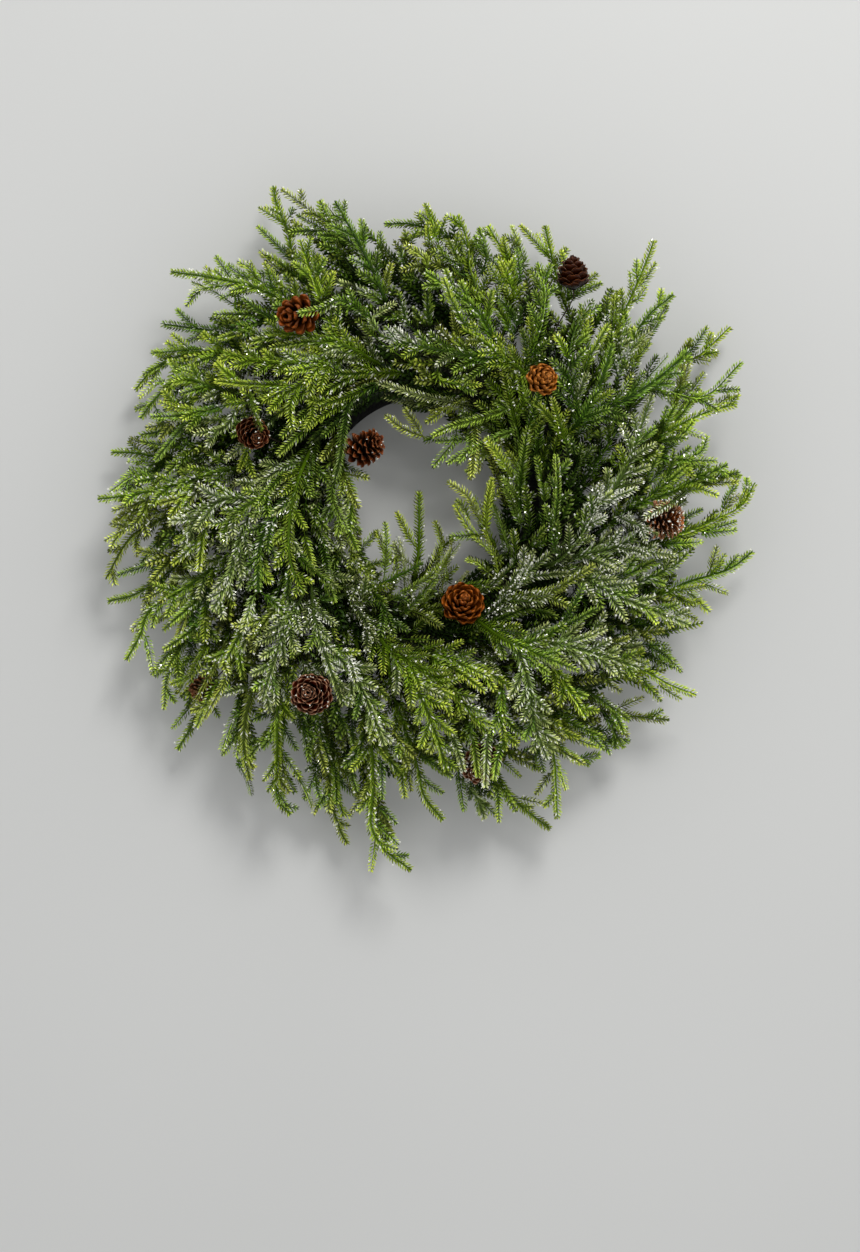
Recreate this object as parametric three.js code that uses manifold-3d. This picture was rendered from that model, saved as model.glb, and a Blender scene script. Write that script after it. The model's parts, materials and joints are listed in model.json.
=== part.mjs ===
// Pine wreath, lying on its back: a black half-round ring base, moulded pine sprays whose
// stems are seated in it, and small natural cones on wire picks.
// Millimetres, +Z up, origin on the resting plane under the middle of the bounding box.
// +X is the wreath's right and +Y its top as it hangs.

import * as THREE from 'three';
import { mergeVertices } from 'three/addons/utils/BufferGeometryUtils.js';
import Module from 'manifold-3d';

// ---- driving dimensions -------------------------------------------------------------------
const RING_CENTER = [-2.14, 25.6];   // middle of the ring base
const RING_INNER_R = 87;            // hole of the ring base
const RING_OUTER_R = 131;           // rim of the ring base
const RING_HEIGHT = 32;             // crest above the flat back
const RING_SEGMENTS = 48;
const STEM_ROOT_R = 1.9;            // spray stem where it enters the ring
const STEM_TIP_R = 1.0;             // spray stem at its tip
const TWIG_STALK_R = 0.9;           // side twig where it leaves the stem
const TWIG_HALF_WIDTH = 2.2;        // flattened needle-clad side twig
const TWIG_HALF_HEIGHT = 1.0;
const WIRE_R = 0.6;                 // wire pick of a cone
const SOCKET_GAP = 0.4;             // clearance of a stem or wire in its socket
const CONE_WHORLS = 5;              // rows of scales on a cone
const CONE_SIDES = 10;

// ---- colours ------------------------------------------------------------------------------
const NEEDLE_GREENS = [0x4f7a2c, 0x5c8a30, 0x3f6b2a, 0x6b9438, 0x47752f, 0x7ba040];
const CONE_BROWNS = [0x6b3420, 0x4a2b1e, 0xa5612f, 0x6e3222, 0x5d3121];
const RING_BLACK = 0x1c1d1a;
const WIRE_BROWN = 0x4b3a28;

// ---- branch table: centre lines, root first ------------------------------------------------
// 'stem' is a main stem, 'side' a twig with a bare stalk, 'tip' a twig clad from its start.
const SPRAYS = {
  inner_spray_01: [
    ['stem', [[67.4, -47.1, 12.3], [60.3, -37.8, 14.3], [57.1, -15.3, 35], [48.6, -2.7, 36.5], [54.4, 40.2, 41.1]]],
    ['side', [[48.8, -2.9, 36.5], [37.4, 17.8, 49.8], [32.4, 26.1, 51], [17.2, 36.9, 53.3]]],
    ['side', [[51.1, -6.4, 36.1], [47.8, -7, 37.9], [42.7, 18.3, 40.4], [37.6, 26.7, 41.4]]],
    ['side', [[52.3, -8.1, 35.9], [40.1, -7.1, 42.6], [22.4, 19, 43.2]]],
    ['side', [[51.1, -6.4, 36.1], [40.1, -7.1, 42.1], [18.1, -8.9, 45.2]]],
    ['side', [[58.1, -22, 28.8], [65.6, -15.3, 34.5], [63.9, -2.6, 34.8], [56.3, 16.8, 35.3]]],
    ['side', [[59.5, -32.3, 19.4], [53.2, -33.7, 24.7], [33.6, -26, 23.5]]],
    ['side', [[59.3, -30.6, 21], [57.4, -29.4, 24.3], [43, -48.1, 24.5]]],
  ],
  inner_spray_02: [
    ['stem', [[-18.5, -74.1, 12.3], [-16.3, -62.3, 14.3], [-10.6, -40.7, 34.3], [-7.2, -15.4, 37.5], [-7.1, 28.3, 41.8]]],
    ['stem', [[-12.9, -49.3, 26.3], [-2.1, -38.1, 33.2], [14.8, -15.4, 37.7], [23.2, -9.5, 39.4]]],
    ['side', [[14.1, -16.4, 37.5], [13.1, -11.3, 40.4], [5.5, 5.6, 39.5]]],
    ['side', [[-7.6, -18.8, 37], [-13, -13, 41.5], [-25.7, 11.5, 41.1]]],
    ['side', [[-9.8, -34.7, 35.1], [-23.1, -24.1, 44.7], [-28.2, -12.3, 46.6]]],
    ['side', [[-15.7, -59.8, 16.6], [2.1, -61.8, 26.5], [10.6, -46.4, 25.7], [26, -32.8, 24.8]]],
  ],
  inner_spray_03: [
    ['stem', [[-79.5, -36.1, 12.3], [-70.1, -31.9, 14.3], [-52.5, -51.9, 47.3], [-23, -41.1, 54.3], [-3.7, -31.2, 59.3]]],
    ['side', [[-36.8, -46.1, 51], [-34.7, -18.5, 54], [-35.6, 3.3, 55.1]]],
    ['side', [[-68.5, -33.7, 17.3], [-64.2, -27.7, 27.4], [-57.3, -20.1, 37.1], [-42.8, -3.3, 31.4]]],
    ['side', [[-67.2, -35.1, 19.7], [-66, -38.7, 38], [-53.1, -32, 32.3], [-31.8, -29.5, 28.6]]],
  ],
  inner_spray_04: [
    ['stem', [[87, -19.8, 12.3], [78, -13.1, 14.3], [77.1, 18, 45.6], [76.8, 71.3, 52.8], [67.4, 101.9, 57.3], [60.7, 111, 58.8]]],
    ['side', [[77.9, -9.7, 17.7], [103.8, 6, 48], [102, 39.7, 51.4], [99.3, 73.3, 38.5]]],
    ['side', [[70.4, 92.1, 55.9], [80.5, 104.5, 65.3], [68.8, 158.8, 64.6]]],
    ['side', [[76.8, 70.2, 52.7], [81.6, 77.6, 57.9], [98.3, 91.7, 59.6]]],
    ['side', [[77, 34.2, 47.8], [73.5, 37.1, 50.3], [62.5, 57.1, 52.9], [49.1, 74.5, 55.3]]],
  ],
  inner_spray_05: [
    ['stem', [[70.5, 93.2, 12.3], [61.3, 88, 14.3], [48.7, 101.4, 35.6], [14.8, 79.8, 41.1], [-2.9, 72.1, 43.4]]],
    ['side', [[48.9, 101.2, 35.1], [-2, 107.2, 63.9], [-42.1, 119.7, 63.2]]],
    ['side', [[40.6, 96.3, 36.9], [23.2, 102, 47.2], [-2.1, 87, 45.9]]],
    ['tip', [[57.4, 92.2, 20.9], [48.9, 87.2, 42.7], [38.7, 77.6, 27.2]]],
    ['side', [[1.7, 74.1, 42.8], [2.1, 64.1, 48.1], [-34.8, 92.5, 50.8]]],
    ['side', [[-1.8, 72.5, 43.2], [-9.6, 79.2, 49.1], [-18.9, 98.3, 51]]],
    ['side', [[24.1, 85.8, 39.6], [23.2, 72.7, 46.6], [4.7, 49.7, 49.7]]],
    ['side', [[37.3, 94.2, 37.4], [35.7, 66.3, 52.2], [25.6, 52.9, 52.9]]],
    ['side', [[39, 95.2, 37.2], [40, 72.4, 49.3], [37.4, 40.5, 49.9]]],
  ],
  outer_spray_01: [
    ['stem', [[96.8, -35.3, 12.2], [105, -36.8, 24.2], [136.8, -30, 46.3], [165.3, -21.9, 57], [186.4, -14.3, 55.2], [216, -5.8, 52.2], [241.5, 5.2, 49.8], [263.7, 17.1, 47.5], [275.7, 36.5, 45.5]]],
    ['stem', [[108.2, -36.1, 26.4], [165.3, 11.5, 60.3], [208.5, 30.2, 54.2], [230.6, 42.2, 50.6], [252, 51.6, 47.3]]],
    ['side', [[248, 8.6, 49.1], [248.2, 12.2, 43.2], [262, 28, 47.3]]],
    ['side', [[226.6, -1.3, 51.2], [233.6, -3, 45.4], [258.5, 3.6, 48.7]]],
    ['side', [[226.6, -1.3, 51.2], [233.6, -5.6, 45.4], [259.6, -3.1, 47.1]]],
    ['side', [[209, -7.9, 52.9], [216.1, 6.8, 51.7], [231, 14.2, 53.9]]],
    ['side', [[190.9, -13.1, 54.7], [194.6, -14.4, 57.2], [228.6, -13.7, 60.4]]],
    ['tip', [[204.1, 28.3, 54.8], [227.4, 30.8, 57.4], [243.8, 24.8, 59.2]]],
    ['side', [[204.1, 28.3, 54.8], [207.3, 35.9, 56.9], [220.4, 47.5, 58.5]]],
    ['side', [[204.1, 28.3, 54.8], [210.1, 55.3, 54.3], [221, 67.1, 53.2]]],
  ],
  outer_spray_02: [
    ['stem', [[87.8, -51, 9.5], [99.7, -57.8, 11], [129.4, -61.8, 30], [162.9, -61.9, 34.9], [197.1, -56.7, 32.1], [221, -46.5, 30], [241.6, -40.6, 28.3], [259.6, -33.7, 26.8], [276, -20.9, 25.1]]],
    ['stem', [[120.5, -60.6, 24.3], [146.6, -78.8, 27.1], [185.4, -85.6, 20.7], [206.2, -91.5, 17.2]]],
    ['side', [[193.6, -87.9, 19.3], [197.5, -102.5, 27.7], [215.8, -122.9, 31.5]]],
    ['side', [[236.7, -42, 28.7], [239.4, -36.4, 32.3], [245, -17, 35.6]]],
    ['side', [[236.7, -42, 28.7], [239.6, -40.6, 30.6], [253.2, -22, 30.9]]],
    ['side', [[227.7, -44.6, 29.5], [229.4, -45.7, 30.6], [253.4, -55.9, 35.8]]],
    ['side', [[214.5, -49.3, 30.6], [227.4, -61.9, 41], [238.1, -72.1, 43.3]]],
    ['side', [[205.9, -53, 31.4], [215, -61.9, 38.7], [223.3, -64.4, 40.1], [231.6, -62.8, 41.6]]],
    ['side', [[192.7, -57.4, 32.5], [202.3, -65.3, 39.6], [226.6, -78, 41.1]]],
    ['side', [[200.4, -89.9, 18.1], [204.9, -87.3, 21.2], [214.1, -83, 23.1]]],
    ['side', [[186.9, -86, 20.4], [190.5, -101.7, 29.4], [206.4, -104.2, 32.4]]],
    ['side', [[120.5, -60.6, 24.3], [122, -57.5, 26.1], [139.8, -38, 27]]],
    ['side', [[138.5, -73.2, 26.2], [138, -77.1, 28.4], [148, -87.3, 30.2], [160.6, -94.9, 32]]],
  ],
  outer_spray_03: [
    ['stem', [[56.6, -74.2, 12.2], [63, -79.9, 24.2], [102.9, -97.3, 51.7], [144.7, -110.7, 52.7], [182.9, -122.5, 48.4], [204.1, -133.5, 45.9], [226.3, -142, 43.4]]],
    ['side', [[180.8, -121.9, 48.7], [183.4, -131.9, 42.7], [197.5, -147.9, 45]]],
    ['side', [[196.2, -129.4, 46.9], [196.2, -133.6, 40.9], [214.9, -146.3, 39.6]]],
    ['side', [[143.9, -110.4, 52.6], [151.5, -130.8, 52.5], [163, -139.2, 55.1]]],
  ],
  outer_spray_04: [
    ['stem', [[37.5, -86, 9.5], [44.7, -97.4, 11], [78.4, -119.5, 31.5], [120.9, -146.6, 30.7], [156.7, -157.8, 27.6], [205.6, -163.9, 23.4]]],
    ['stem', [[75.1, -117.3, 29.5], [95.1, -151.5, 36.9], [131, -166.1, 31.8], [161.9, -185.8, 27]]],
    ['side', [[113.2, -158.9, 34.3], [118.4, -175.7, 44.4], [143.5, -185.7, 46.3]]],
    ['side', [[154.2, -157, 27.8], [155.5, -164.4, 32.1], [169, -176.2, 33.6]]],
    ['side', [[158.5, -158, 27.4], [163.2, -153.4, 31.1], [181.8, -144.9, 32.3]]],
  ],
  outer_spray_05: [
    ['stem', [[27.7, -85.9, 12.2], [31.7, -93.7, 24.2], [60.8, -120.8, 53], [86, -154.3, 53.4], [104.6, -188, 49.5], [108.2, -221, 46.2], [109.1, -244.8, 43.9]]],
    ['side', [[106.5, -205.7, 47.8], [105, -207.8, 41.8], [90.7, -226.5, 41]]],
    ['side', [[106, -201.1, 48.2], [110.1, -203.6, 42.2], [116.9, -222.2, 41.4]]],
    ['side', [[95.6, -171.7, 51.4], [92.9, -181.3, 49.2], [97.7, -207, 54.7]]],
    ['side', [[97.8, -175.7, 50.9], [88.8, -192.4, 45.8], [90.5, -205.9, 46.7]]],
    ['side', [[100, -179.7, 50.5], [109.9, -183.2, 45.5], [114.9, -190.8, 45.7], [131.7, -200, 46.3]]],
    ['side', [[43.4, -104.5, 35.8], [44.4, -99.9, 37.1], [54.5, -116.8, 39.8], [51, -137.8, 42.7], [55.2, -150.4, 44.5]]],
  ],
  outer_spray_06: [
    ['stem', [[-4.8, -92.8, 9.5], [-2.1, -106, 11], [19.1, -138.1, 32.9], [42.8, -184.6, 34.3], [64, -220.4, 30.9], [76, -234.1, 29.4], [103.3, -255.5, 26.6]]],
    ['stem', [[23.8, -147.4, 33.2], [25.8, -180.3, 36.8], [39.4, -207.6, 32.4], [44.6, -231.6, 28.6], [45.5, -243.6, 26.8]]],
    ['side', [[30.9, -190.5, 35.1], [25.8, -201.1, 41.9], [30.7, -238.5, 48.5]]],
    ['side', [[56.8, -208.1, 32.1], [56.3, -214.2, 35.5], [59.6, -226.6, 38.4], [60.3, -249, 43.3]]],
    ['side', [[72.8, -230.4, 29.8], [76.7, -229.6, 32.1], [96.9, -233.6, 36.2]]],
    ['side', [[49.7, -196.3, 33.2], [61.2, -197, 39.7], [78, -211.1, 43.1]]],
  ],
  outer_spray_07: [
    ['stem', [[-34.1, -85.3, 12.2], [-34.8, -94, 24.2], [-29.7, -137.6, 53], [-18.8, -171.1, 54], [-8.8, -200.6, 50.2], [-2.9, -226.9, 46.9], [13.1, -247.3, 43.7]]],
    ['side', [[-11.4, -193.1, 51.2], [-20.6, -206.7, 47.4], [-18.9, -229.2, 49.4]]],
    ['side', [[-9, -200, 50.3], [-15.5, -209.3, 46.4], [-13.9, -222.7, 46]]],
    ['tip', [[-8, -204.2, 49.7], [-2.1, -214.1, 49], [13.1, -224.3, 47.9]]],
    ['side', [[-11.4, -193.1, 51.2], [2.1, -198, 51.2], [21.4, -211.5, 50.9]]],
  ],
  outer_spray_08: [
    ['stem', [[-60.7, -74.5, 12.2], [-62.3, -82.8, 24.2], [-55, -129.3, 48.2], [-48.1, -171, 54.6], [-45.7, -213.2, 51], [-47.5, -251.2, 47.8], [-35.7, -272.4, 45.8], [-13.9, -289.5, 43.5]]],
    ['side', [[-47.2, -187.3, 53.2], [-63.5, -200.8, 47.2], [-59.3, -224.3, 47.1]]],
    ['side', [[-42.1, -260.9, 46.9], [-44.3, -264.4, 40.9], [-47.7, -290.7, 39.8]]],
    ['side', [[-47.2, -251.6, 47.8], [-41.7, -252.5, 41.8], [-24, -268.6, 41.1]]],
    ['side', [[-46.7, -235.5, 49.2], [-38.3, -238.9, 43.2], [-26.5, -250, 42.4]]],
    ['side', [[-46, -219.4, 50.5], [-52.6, -226.2, 44.5], [-63.5, -239.6, 46.2]]],
    ['side', [[-46.9, -192.7, 52.8], [-39.9, -196.4, 50.3], [-38.1, -229.8, 53.1]]],
    ['side', [[-58.6, -106.8, 36.6], [-57, -108.4, 37.3], [-19.8, -132, 37.7]]],
  ],
  outer_spray_09: [
    ['stem', [[-79.8, -63.7, 9.5], [-86.3, -75.5, 11], [-89.7, -112.8, 26.3], [-87.1, -159.5, 27.5], [-83, -227.8, 22.3], [-73.8, -259.5, 19.7], [-68.7, -269, 18.9]]],
    ['side', [[-87.8, -145.8, 27.2], [-105.1, -159, 39.6], [-100.1, -197.9, 38.5]]],
    ['side', [[-85.6, -184.9, 25.5], [-87, -189.2, 28.2], [-104.7, -230.5, 31.9]]],
    ['side', [[-84.1, -209.5, 23.7], [-82.9, -213.1, 25.8], [-96.2, -242.5, 30.7]]],
    ['tip', [[-85.3, -189.8, 25.2], [-82.8, -210.5, 26.9], [-83.6, -243.4, 29.8]]],
    ['side', [[-81.3, -233.8, 21.8], [-74.4, -236, 25.7], [-70.9, -242.8, 26.7], [-65, -245.2, 27.6]]],
  ],
  outer_spray_10: [
    ['stem', [[-95.1, -43.4, 12.2], [-100.2, -50.3, 24.2], [-115.4, -95.6, 51.3], [-125.3, -145.9, 53], [-126.5, -192.3, 48.7], [-126.7, -227.8, 45.4], [-115.8, -242.3, 43.7]]],
    ['stem', [[-113.9, -91.1, 48.6], [-138.5, -119, 56.5], [-152.2, -158.5, 52.5], [-154.2, -188.9, 48.3], [-149.4, -212.7, 44.9]]],
    ['side', [[-151.2, -155.5, 52.8], [-161.9, -158.7, 46.8], [-173.5, -188.9, 48.7]]],
    ['side', [[-152.9, -168.4, 51.1], [-157.9, -171.4, 45.1], [-160.9, -195.6, 49.1]]],
    ['tip', [[-125.9, -170.1, 50.8], [-139.2, -187.3, 47.1]]],
    ['side', [[-125.8, -165.3, 51.2], [-120.6, -169.6, 48.9], [-109.6, -188, 50.1]]],
    ['side', [[-143.6, -133.8, 55], [-148.8, -134.2, 53.5], [-172.8, -141.6, 56.8]]],
    ['side', [[-126.3, -184.6, 49.4], [-124.3, -188.4, 43.4], [-107.1, -211.6, 49.5]]],
  ],
  outer_spray_11: [
    ['stem', [[-110.2, -21.9, 9.5], [-121.7, -29.4, 11], [-154.9, -70.3, 28.8], [-180.6, -108.5, 26.1], [-195.5, -158, 22], [-212.8, -188.8, 19.1]]],
    ['side', [[-178, -104.6, 26.4], [-216.1, -121.1, 36.2], [-222.8, -153.2, 36.6]]],
    ['side', [[-192.7, -148.7, 22.8], [-198.5, -149.3, 26.1], [-217.3, -171.5, 25.2]]],
    ['side', [[-190, -139.8, 23.5], [-184.7, -146.7, 28.2], [-176.8, -161, 31]]],
    ['side', [[-180.1, -107.7, 26.2], [-183, -108.5, 27.5], [-180.6, -126.4, 26.6]]],
  ],
  outer_spray_12: [
    ['stem', [[-116.7, 10.2, 12.2], [-124.7, 7, 24.2], [-165.7, -24.3, 52.3], [-203.6, -51.9, 50.3], [-233.5, -70.4, 46.7], [-242.2, -91.4, 44.3], [-253.4, -111.7, 41.9]]],
    ['side', [[-235, -74.1, 46.2], [-240.1, -77.1, 40.2], [-250.2, -88.1, 40.4]]],
    ['side', [[-241.7, -90.2, 44.4], [-237.8, -94, 38.4], [-231.4, -121.8, 42.5]]],
  ],
  outer_spray_13: [
    ['stem', [[-119.7, 33.3, 9.5], [-133.6, 32.5, 11], [-167.2, 22.8, 33.8], [-209.5, 12.6, 34.5], [-243.8, -2.5, 31.2], [-257.5, -16, 29.4], [-273.2, -43.9, 26.6]]],
    ['stem', [[-153.8, 26.7, 24.7], [-192.5, -15.3, 35.5], [-222.5, -40.6, 31.5], [-247.5, -56.7, 28.5], [-270.7, -62.6, 26.1]]],
    ['side', [[-213.4, -32.9, 32.7], [-225.8, -30.7, 40.2], [-261.6, -40.9, 43.5]]],
    ['tip', [[-248.4, -7, 30.6], [-246, -24.6, 34]]],
  ],
  outer_spray_14: [
    ['stem', [[-114.4, 51.5, 12.2], [-123.3, 52.1, 24.2], [-161, 48.3, 58.1], [-202.7, 36.5, 59.2], [-245.2, 26.8, 54.1], [-276.7, 22.8, 50.4]]],
    ['side', [[-224.6, 31.5, 56.6], [-239.7, 42.9, 50.6], [-249.8, 40.4, 50.5], [-265.8, 29.5, 50.5]]],
    ['side', [[-232.1, 29.8, 55.7], [-237.3, 22, 49.7], [-264.6, 12.6, 53.1]]],
    ['side', [[-232.1, 29.8, 55.7], [-237.3, 15.3, 49.7], [-241.4, 7.7, 50.7], [-247.1, 0.9, 51.7], [-271, -12.6, 55.1]]],
    ['side', [[-198.3, 37.8, 59.1], [-201, 40.7, 59.8], [-212.7, 24, 59.9]]],
  ],
  outer_spray_15: [
    ['stem', [[-109.1, 75.9, 9.5], [-122.3, 79.3, 11], [-159, 73.9, 30.5], [-214.6, 58.9, 26.5], [-248.1, 63.4, 23.2], [-268, 64.4, 21.2]]],
    ['side', [[-223.9, 60.2, 25.6], [-227, 65.5, 29.2], [-254, 75.6, 30.8]]],
    ['side', [[-223.9, 60.2, 25.6], [-227.1, 55.4, 28.8], [-253.9, 56, 31.2]]],
    ['side', [[-220.1, 59.7, 26], [-230.6, 48.2, 34.7], [-243.4, 46.5, 34.5], [-253.5, 49.1, 34.3]]],
    ['side', [[-172.5, 70.3, 29.5], [-174.3, 69.7, 30.6], [-178.3, 55.9, 32.7], [-175.4, 29.5, 36.6]]],
    ['side', [[-172.5, 70.3, 29.5], [-170.7, 63.5, 33.2], [-160.2, 43, 37]]],
  ],
  outer_spray_16: [
    ['stem', [[-96.5, 91.8, 12.2], [-104.5, 95.6, 24.2], [-140.2, 105.4, 55.9], [-177.8, 115.3, 57.3], [-207.5, 124.1, 53.7], [-227.1, 108.4, 50.7], [-240.9, 91, 48]]],
    ['side', [[-215.9, 117.4, 52.4], [-226.8, 121.5, 46.4], [-241.9, 108.8, 46.6]]],
    ['side', [[-230, 104.8, 50.1], [-223.2, 82.6, 48.1], [-240.8, 76.7, 48.9]]],
  ],
  outer_spray_17: [
    ['stem', [[-83.5, 110.9, 9.5], [-94.4, 119.5, 11], [-129.2, 134.8, 32.3], [-171.6, 148.4, 31.8], [-210.1, 145.4, 28.4], [-232.5, 134.6, 26.2], [-248, 117.8, 24.2]]],
    ['stem', [[-146.2, 140.2, 32.1], [-171.8, 163.1, 29.3], [-202.1, 169.7, 24.1], [-227.2, 173.7, 19.8]]],
    ['side', [[-195.6, 146.5, 29.7], [-198.7, 148.4, 31.9], [-216.2, 163.2, 35.3]]],
    ['side', [[-187, 147.2, 30.5], [-192.6, 150.6, 34.4], [-235, 147.4, 33.3]]],
    ['side', [[-208.3, 145.5, 28.6], [-210, 145.3, 29.6], [-240.2, 129.7, 32.4]]],
  ],
  outer_spray_18: [
    ['stem', [[-59.4, 125.4, 12.2], [-64.6, 132.7, 24.2], [-98.4, 170.9, 54.6], [-138.9, 198.1, 51.7], [-180.4, 208.9, 47.3], [-215.3, 214.4, 43.7]]],
    ['side', [[-121.3, 186.3, 53], [-121, 196.8, 55.5], [-136.9, 220.2, 55.4]]],
    ['side', [[-165, 204.9, 48.9], [-168.1, 212, 42.9], [-179.1, 228.9, 43]]],
    ['side', [[-135.8, 196, 51.9], [-136.5, 203.4, 49.8], [-143.9, 208.3, 51], [-149.7, 216.5, 52.4], [-159.7, 222.1, 53.9]]],
    ['side', [[-152.3, 201.6, 50.3], [-153.6, 205, 45.2], [-194.8, 198.9, 46.4], [-200.6, 193, 46.7]]],
    ['side', [[-177.8, 208.2, 47.6], [-181.8, 210.5, 41.6], [-186.8, 218.1, 41.9]]],
    ['side', [[-148, 200.5, 50.8], [-151, 203.1, 46.4], [-174.3, 190.9, 49.4]]],
  ],
  outer_spray_19: [
    ['stem', [[-35.4, 139.2, 9.5], [-41.9, 151, 11], [-78.4, 179.7, 32.2], [-110.7, 218.3, 29.2], [-118.6, 251.9, 26.3], [-128, 274.4, 24.2], [-131.5, 290.8, 22.7]]],
    ['side', [[-118.3, 250.9, 26.3], [-118.5, 253.3, 27.8], [-121, 257.4, 28.8], [-143.5, 270.9, 34.1]]],
    ['tip', [[-112.4, 225.3, 28.6], [-143.9, 255, 28]]],
    ['side', [[-109.7, 217.1, 29.3], [-123.8, 217.1, 37.4], [-142.1, 233.3, 41.3]]],
    ['side', [[-121.6, 259, 25.6], [-116.7, 264, 29.7], [-114.1, 271.8, 29.2]]],
    ['side', [[-73, 175.5, 29.1], [-69.8, 185.2, 35.4], [-111.4, 181.2, 33.4]]],
  ],
  outer_spray_20: [
    ['stem', [[-15.5, 140, 12.2], [-17.9, 148.6, 24.2], [-35.5, 188.7, 59.7], [-52.3, 227, 54.9], [-77.7, 273.5, 47.9]]],
    ['side', [[-65.1, 250.4, 51.4], [-86.3, 257.1, 45.4], [-123, 283.1, 50.5]]],
    ['side', [[-47.8, 216.8, 56.1], [-38.9, 234.7, 53.8], [-39.7, 246.1, 55.8]]],
    ['side', [[-53.6, 229.3, 54.5], [-52.4, 233.1, 53.4], [-55.8, 258.5, 52.4]]],
    ['side', [[-63.5, 247.4, 51.8], [-77.8, 251.2, 45.8], [-90.3, 274.2, 48.7]]],
  ],
  outer_spray_21: [
    ['stem', [[30.3, 138.7, 9.5], [33.3, 152.3, 11], [37.7, 192, 35.5], [23.3, 240.7, 32.1], [-10.6, 256.6, 28.5], [-35.3, 257.9, 26.1]]],
    ['side', [[8.3, 247.8, 30.5], [8.1, 252.4, 33.3], [-2.1, 273.5, 38.4]]],
    ['side', [[-2.4, 252.8, 29.3], [-4.6, 251.1, 30.8], [-24.1, 243.2, 32.9]]],
    ['side', [[26.4, 230.3, 32.8], [14.8, 232, 39.4], [-3.8, 240, 41.8]]],
  ],
  outer_spray_22: [
    ['stem', [[56.4, 125.7, 12.2], [58.1, 134, 24.2], [52.4, 172.3, 57.2], [36.5, 213.1, 52.6], [33.2, 240.6, 48.8], [25.7, 261.3, 45.8]]],
    ['stem', [[57, 141.6, 30.8], [70.8, 189, 56.9], [69.3, 218.2, 52.5], [50.9, 252.7, 46.5]]],
    ['side', [[70.2, 199.5, 55.3], [77.4, 205.3, 60.2], [74.6, 232, 65.6]]],
    ['tip', [[69.3, 217.2, 52.6], [63.3, 242, 55.5]]],
    ['side', [[39.7, 205, 53.5], [47.3, 213.6, 60.4], [48.9, 226, 61.5], [43.9, 245.8, 63.2]]],
  ],
  outer_spray_23: [
    ['stem', [[95.6, 92.1, 9.5], [105.2, 101.8, 11], [116.6, 128.9, 31.4], [124.9, 162.6, 33.8], [112.4, 201.2, 30.1], [99.9, 256.4, 24.9]]],
    ['side', [[124.8, 161.9, 33.8], [137.1, 165.9, 41.2], [146.4, 187.8, 41.5]]],
    ['side', [[116.1, 189.8, 31.2], [124.6, 198.3, 38.4], [144.1, 214.4, 38.3]]],
    ['side', [[116.1, 189.8, 31.2], [127.1, 197.4, 39.2], [147.3, 205.7, 40.1]]],
    ['side', [[106, 229.7, 27.4], [103.1, 230.2, 29.1], [93, 249.8, 28.4]]],
    ['side', [[106.9, 225.7, 27.8], [103.9, 228.3, 30.1], [79.3, 255.4, 30.5]]],
  ],
  outer_spray_24: [
    ['stem', [[103.7, 72.5, 12.2], [110.2, 78, 24.2], [136.2, 118.1, 54.7], [162.4, 172.9, 52.5], [181.3, 215.5, 47.8], [190.8, 240.3, 45.2]]],
    ['stem', [[135.7, 117.3, 54.1], [151.2, 132.2, 56.4], [186.1, 177.4, 49.5], [206.8, 194.9, 44.8]]],
    ['side', [[154.3, 136.3, 55.7], [159.4, 136.9, 58.7], [187, 161.8, 67.3]]],
    ['side', [[152.8, 134.2, 56.1], [167.8, 134.5, 58.4], [185.9, 153.3, 61.7]]],
    ['tip', [[176.3, 204.4, 49.1], [176.4, 225.9, 45.8]]],
    ['side', [[174.5, 200.3, 49.5], [180.8, 204.4, 43.5], [192.3, 221.6, 46.8]]],
    ['side', [[169.1, 188, 50.9], [172.3, 190.7, 44.9], [170.1, 213.5, 49.9]]],
    ['side', [[169.1, 188, 50.9], [176.5, 191.5, 44.9], [184.1, 201.7, 44.2]]],
    ['side', [[156, 159.6, 53.1], [154.7, 160.1, 53.8], [156.9, 193.9, 57.7]]],
    ['side', [[150.3, 147.6, 53.5], [149.5, 151.5, 55.9], [150, 190.1, 61.7]]],
  ],
  outer_spray_25: [
    ['stem', [[114.7, 20.2, 12.2], [121.8, 23.5, 24.2], [148.7, 63.6, 55.7], [182.2, 112.1, 55.8], [231.3, 108.4, 51.3], [263.7, 137.3, 47.4]]],
    ['stem', [[127.2, 31.5, 30.5], [165.3, 50.9, 57.8], [201.6, 78.7, 54.4], [233.1, 95, 50.2], [260.4, 102.9, 46.8]]],
    ['stem', [[152.1, 68.4, 55.7], [155.6, 85.7, 42.1], [180.5, 108.1, 27.4], [203.8, 132.3, 24.2], [232.2, 147.1, 20.9], [258.3, 171.4, 17.3]]],
    ['side', [[181.3, 63.2, 56.3], [203.1, 55.1, 56.9], [241.7, 53.9, 62.7]]],
    ['side', [[181.3, 63.2, 56.3], [204.8, 55.2, 57.2], [223.1, 58.4, 58.1], [229.8, 63.4, 58], [233.9, 74.3, 58]]],
    ['side', [[205.7, 80.8, 53.9], [207.7, 84.8, 52.2], [233.3, 73.6, 56.2]]],
    ['side', [[239.9, 97, 49.3], [243.2, 102.4, 43.3], [254.9, 110.8, 43.9]]],
    ['side', [[216.8, 109.5, 52.6], [221.7, 112.2, 46.6], [233.4, 129.7, 48.2]]],
    ['side', [[211.9, 109.9, 53.1], [213.3, 109.6, 47.1], [215.9, 129.1, 46]]],
    ['side', [[229, 145.4, 21.3], [230.4, 146.1, 22.2], [238.9, 147.8, 22.5], [247.3, 146.9, 22.9]]],
    ['side', [[222.5, 142, 22], [221.8, 143.5, 23], [241.1, 140.6, 25.3]]],
    ['side', [[206.2, 133.5, 23.9], [207.9, 136.3, 25.9], [223.7, 159.7, 29.2]]],
    ['side', [[190.4, 118.3, 26.1], [186.8, 129.6, 32.9], [194.9, 145.3, 36.6]]],
  ],
  top_spray_01: [
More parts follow.
